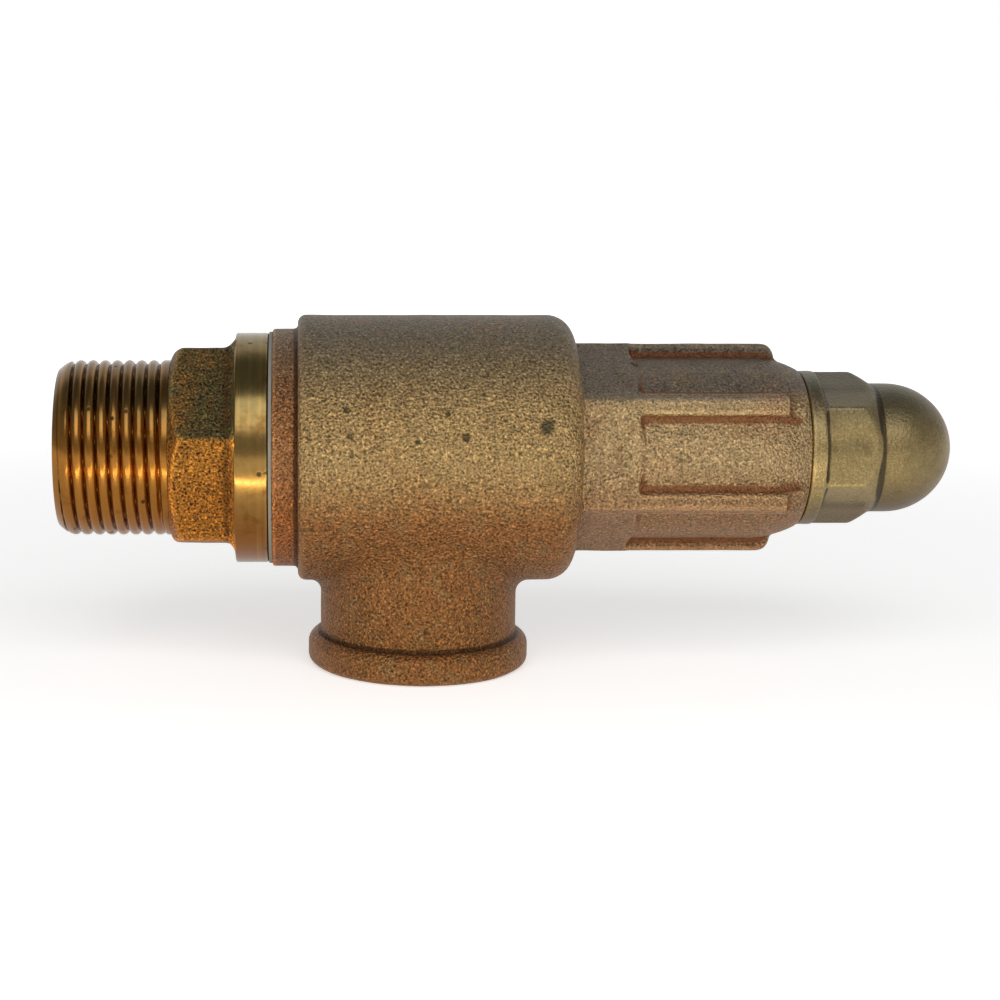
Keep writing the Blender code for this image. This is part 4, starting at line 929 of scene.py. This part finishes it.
def make_outlet_thread():
    """The outlet's female pipe thread, cut along the valve's axis and then turned downwards."""
    length = OUTLET_THREAD_LENGTH
    outline = [(0.0, OUTLET_MOUTH), (0.0, OUTLET_LINER), (length, OUTLET_LINER), (length, OUTLET_BORE)]
    count = 140
    for index in range(count + 1):
        s = length * (1 - index / count)
        outline.append((s, max(OUTLET_BORE, OUTLET_MOUTH - s)))
    liner = spun("outlet_thread", outline, steps=160)
    end = length + CUT_PAST
    cut_thread(liner, -OVERLAP, end, PIPE_THREAD_PITCH, PIPE_THREAD_DEPTH, OUTLET_BORE, outward=False)
    mouth = world(OUTLET_STATION, 0.0, OUTLET_THREAD_INSET - OUTLET_REACH)
    turn = Matrix.Rotation(-math.pi / 2, 4, "Y")
    liner.data.transform(Matrix.Translation(mouth) @ turn @ Matrix.Translation(-world(0.0)))
    dress(smooth(liner), "valve", "bright_brass", COLLAR_BRASS, "valve_body")


def make_bonnet():
    """The bonnet casting, bored for the spring and the setting screw."""
    rough = bmesh.new()
    corner = BONNET_FLATS / math.sqrt(3)
    rough_drum(rough, BONNET_HEX_START, BONNET_HEX_END, corner, 6, -BONNET_CORNER)
    rough_drum(rough, BONNET_START, BONNET_HEX_START + 2 * OVERLAP, BONNET_SPIGOT)
    rough_drum(rough, BONNET_HEX_START + OVERLAP, DRUM_END, DRUM_RADIUS)
    rough_drum(rough, DRUM_END - OVERLAP, SHOULDER_END + SHOULDER_CLOSING, SHOULDER_RADIUS)
    for degrees, width, end in RIB_PAIRS:
        turn = math.pi / 2 - BONNET_CORNER - math.radians(degrees)
        rough_bar(rough, BONNET_HEX_START + OVERLAP, DRUM_END - OVERLAP / 2, width, corner - EDGE, turn)
        if end > DRUM_END:
            rough_bar(rough, DRUM_END - 2 * OVERLAP, end, width, DRUM_RADIUS, turn)
    bonnet = casting("bonnet_housing", rough, bonnet_form, grain=0.4)
    start = BONNET_START - CUT_PAST
    end = SHOULDER_END + CUT_PAST
    bore = [(start, 0.0), (start, BONNET_BORE), (SCREW_HOLE_START, BONNET_BORE)]
    bore += [(SCREW_HOLE_START, SCREW_HOLE), (end, SCREW_HOLE), (end, 0.0)]
    face = BONNET_GASKET_END + TOUCH
    seat = [(BODY_END, BONNET_SPIGOT), (BODY_END, GASKET_SEAT), (face, GASKET_SEAT), (face, BONNET_SPIGOT)]
    bonnet = cut(bonnet, spun("bonnet_bore", bore), spun("bonnet_gasket_seat", seat))
    mark_form_shade_and_highlight(bonnet, bonnet_form)
    dress(smooth(bonnet, CASTING_ANGLE), "valve", "cast_bronze", BONNET_BRONZE, "bonnet")


def make_bonnet_neck():
    """The bonnet's threaded neck under the cap."""
    bore = SCREW_HOLE + NECK_CLEARANCE
    outline = [(NECK_START, bore), (NECK_END, bore), (NECK_END, NECK_RADIUS - NECK_CHAMFER)]
    count = 60
    for index in range(count + 1):
        s = NECK_END - (NECK_END - SHOULDER_END) * index / count
        outline.append((s, min(NECK_RADIUS, NECK_RADIUS - NECK_CHAMFER + (NECK_END - s))))
    outline.append((NECK_START, NECK_RADIUS))
    neck = spun("bonnet_neck", outline)
    cut_thread(neck, SHOULDER_END, NECK_END + OVERLAP, NECK_PITCH, NECK_THREAD_DEPTH, NECK_RADIUS)
    dress(smooth(neck), "valve", "bright_brass", COLLAR_BRASS, "bonnet")


def make_cap():
    """The cap casting, hollow over the setting screw."""
    rough = bmesh.new()
    rough_drum(rough, CAP_FACE, CAP_RING_END, CAP_RING_RADIUS)
    rough_drum(rough, CAP_START + OVERLAP, CAP_HEX_END - 2 * EDGE, CAP_FLATS / math.sqrt(3), 6, -CAP_CORNER)
    rough_drum(rough, CAP_START + OVERLAP, DOME_STATION, DOME_RADIUS)
    ball = Matrix.Translation(world(DOME_STATION))
    bmesh.ops.create_uvsphere(rough, u_segments=48, v_segments=24, radius=DOME_RADIUS * MM, matrix=ball)
    cap = casting("cap_dome", rough, cap_form, grain=0.4)
    start = CAP_START - CUT_PAST
    seat = CAP_START - CAP_GASKET_DEPTH
    hollow = [(start, 0.0), (start, CAP_GASKET_SEAT), (seat, CAP_GASKET_SEAT), (seat, CAP_BORE)]
    hollow += arc((DOME_STATION, 0.0), CAP_BORE, 90.0, 0.0, 12)
    cap = cut(cap, spun("cap_hollow", hollow))
    mark_form_shade_and_highlight(cap, cap_form)
    dress(smooth(cap, CASTING_ANGLE), "cap", "cap_bronze", CAP_BRONZE, "cap")
    # The dome takes the darker copy of the cap's bronze as painted shade.
    cap.data.materials.append(DOME_BRONZE)
    for face in cap.data.polygons:
        if station(face.center.x) > DOME_TINT_START:
            face.material_index = 1


def dress_inner_pieces():
    """Give the CAD nodes their finishes; the nodes that finer pieces stand for don't show."""
    finishes = {
        "nozzle_gasket": FIBRE, "bonnet_gasket": FIBRE, "cap_gasket": FIBRE, "disc_seal": SEAL,
        "adjusting_screw": SCREW_STEEL, "guide_sleeve": GUIDE_BRASS,
    }
    for name, item in frame["nodes"].items():
        finish = finishes.get(name, STEEL)
        item.data.materials.clear()
        item.data.materials.append(finish)


def half_spring(name, start, angle, stretches, ends):
    """Half of the coil spring, wound in stretches of (turns, rise)."""
    sketch = bmesh.new()
    place = Matrix.Translation(world(0.0)) @ Matrix.Rotation(angle, 4, "X")
    place = place @ Matrix.Translation((start * MM, 0.0, -SPRING_RADIUS * MM))
    place = place @ Matrix.Rotation(math.pi / 2, 4, "X")
    bmesh.ops.create_circle(sketch, segments=WIRE_SIDES, radius=SPRING_WIRE / 2 * MM, matrix=place)
    wound = list(sketch.verts) + list(sketch.edges)
    for turns, rise in stretches:
        steps = round(turns * STEPS_PER_TURN)
        made = bmesh.ops.spin(
            sketch, geom=wound, cent=world(0.0), axis=(1, 0, 0), dvec=(rise * MM / steps, 0, 0),
            angle=2 * math.pi * turns, steps=steps, use_duplicate=False,
        )
        wound = made["geom_last"]
    bmesh.ops.holes_fill(sketch, edges=sketch.edges, sides=0)
    bmesh.ops.recalc_face_normals(sketch, faces=sketch.faces)
    mesh = bpy.data.meshes.new(name)
    sketch.to_mesh(mesh)
    sketch.free()
    coil = smooth(new_piece(mesh, name))
    coil.data.materials.append(SPRING_STEEL)
    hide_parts("spring")
    tuple(world(ends[0]))
    tuple(world(ends[1]))
    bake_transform(coil)


def make_spring():
    """The spring, wound as a lower and an upper half."""
    low = station(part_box("spring")[0].x)
    high = station(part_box("spring")[1].x)
    middle = (low + high) / 2
    first = low + SPRING_WIRE / 2
    closed = (SPRING_END_TURNS, SPRING_END_TURNS * (SPRING_WIRE + SPRING_END_GAP))
    opened = (SPRING_OPEN_TURNS, middle - low - SPRING_WIRE / 2 - closed[1])
    turned = 2 * math.pi * (SPRING_END_TURNS + SPRING_OPEN_TURNS)
    half_spring("spring_lower_coils", first, 0.0, (closed, opened), (low, middle))
    half_spring("spring_upper_coils", middle, turned, (opened, closed), (middle, high))


WHITE = (1.0, 1.0, 1.0)
BLACK = (0.0, 0.0, 0.0)

# Stage: how bright the floor is near the valve and the room is in front and overhead; the floor's size and
# the distances between which it turns white, in metres
FLOOR_GLOW = 0.52
ROOM_FRONT = 0.4
ROOM_TOP = 0.2
FLOOR_SIZE = 30.0
FLOOR_NEAR = 0.12
FLOOR_FAR = 0.6


def background_seen(tree):
    """One where the camera, a reflection or a view through glass meets the background."""
    seen = tree.node("ShaderNodeLightPath", output="Is Camera Ray")
    seen = seen + tree.node("ShaderNodeLightPath", output="Is Glossy Ray")
    return seen + tree.node("ShaderNodeLightPath", output="Is Transmission Ray")


def make_floor():
    """A plain white floor that keeps the valve's shadow."""
    sketch = bmesh.new()
    bmesh.ops.create_grid(sketch, x_segments=1, y_segments=1, size=FLOOR_SIZE)
    mesh = bpy.data.meshes.new("floor")
    sketch.to_mesh(mesh)
    sketch.free()
    floor = new_piece(mesh, "floor")
    finish = Finish("floor_white", 0.0, 0.9)
    finish.paint("Base Color", (0.8, 0.8, 0.8))
    distance = finish.node("ShaderNodeVectorMath", {"operation": "LENGTH"}, {0: finish.place}, output=1)
    glow = finish.blend(finish.mask(distance, FLOOR_NEAR, FLOOR_FAR), shade(WHITE, FLOOR_GLOW), WHITE)
    finish.paint("Emission Color", finish.blend(background_seen(finish), BLACK, glow))
    finish.paint("Emission Strength", 1.0)
    floor.data.materials.append(finish.material)


def make_world():
    """A white background, and a room that is dimmer in front of the valve and overhead."""
    surround = bpy.data.worlds.new("surround")
    surround.use_nodes = True
    bpy.context.scene.world = surround
    room = Tree(surround.node_tree)
    direction = room.node("ShaderNodeTexCoord", output="Generated")
    behind = room.mask(room.node("ShaderNodeSeparateXYZ", None, {0: direction}, output=1), 0.2, 0.7)
    overhead = room.mask(room.node("ShaderNodeSeparateXYZ", None, {0: direction}, output=2), 0.55, 0.9)
    dim = room.blend(overhead, shade(WHITE, ROOM_FRONT), shade(WHITE, ROOM_TOP))
    seen = background_seen(room) * behind + room.node("ShaderNodeLightPath", output="Is Camera Ray")
    level = room.blend(room.mask(seen, 0.0, 1.0), dim, WHITE)
    room.feed(surround.node_tree.nodes["Background"].inputs["Color"], level)


def make_lamp(name, place, target, size, power, colour=WHITE):
    """A soft lamp of a width and a depth that faces a point."""
    lamp = bpy.data.lights.new(name, "AREA")
    lamp.shape = "RECTANGLE"
    lamp.size, lamp.size_y = size
    lamp.energy = power
    lamp.color = colour
    item = bpy.data.objects.new(name, lamp)
    item.location = place
    item.rotation_euler = (Vector(target) - Vector(place)).to_track_quat("-Z", "Y").to_euler()
    bpy.context.scene.collection.objects.link(item)


def make_lights():
    """A broad key over the camera, and a narrow low strip that streaks the turned collar."""
    make_lamp("key", (0.0, -0.42, 0.42), world(80.0), (0.6, 0.35), 1.6)
    make_lamp("low_strip", (-0.02, -0.09, 0.0055), world(64.5), (0.2, 0.005), 0.05, (1.0, 0.85, 0.55))


# Camera: a close view a little from above, framed to the right of its own axis; its distance is in metres
CAMERA_STATION = 45.6
CAMERA_DISTANCE = 0.400
CAMERA_PITCH = math.radians(10.7)
CAMERA_FOCAL = 75.5
CAMERA_DROP = 10.03
CAMERA_SHIFT = 0.20


def make_camera():
    """The camera at the photograph's viewing angle."""
    data = bpy.data.cameras.new("camera")
    data.lens = CAMERA_FOCAL
    data.sensor_width = 36.0
    data.sensor_fit = "HORIZONTAL"
    data.shift_x = CAMERA_SHIFT
    data.clip_start = 0.01
    camera = bpy.data.objects.new("camera", data)
    forward = Vector((0.0, math.cos(CAMERA_PITCH), -math.sin(CAMERA_PITCH)))
    upward = Vector((0.0, math.sin(CAMERA_PITCH), math.cos(CAMERA_PITCH)))
    target = world(CAMERA_STATION) - upward * CAMERA_DROP * MM
    camera.location = target - forward * CAMERA_DISTANCE
    camera.rotation_euler = (math.pi / 2 - CAMERA_PITCH, 0.0, 0.0)
    bpy.context.scene.collection.objects.link(camera)
    bpy.context.scene.camera = camera


make_camera()
make_nozzle()
make_nozzle_hexagon()
make_body()
make_outlet_thread()
make_bonnet()
make_bonnet_neck()
make_cap()
dress_inner_pieces()
make_spring()
make_floor()
make_world()
make_lights()
bpy.context.scene.view_settings.view_transform = "Standard"
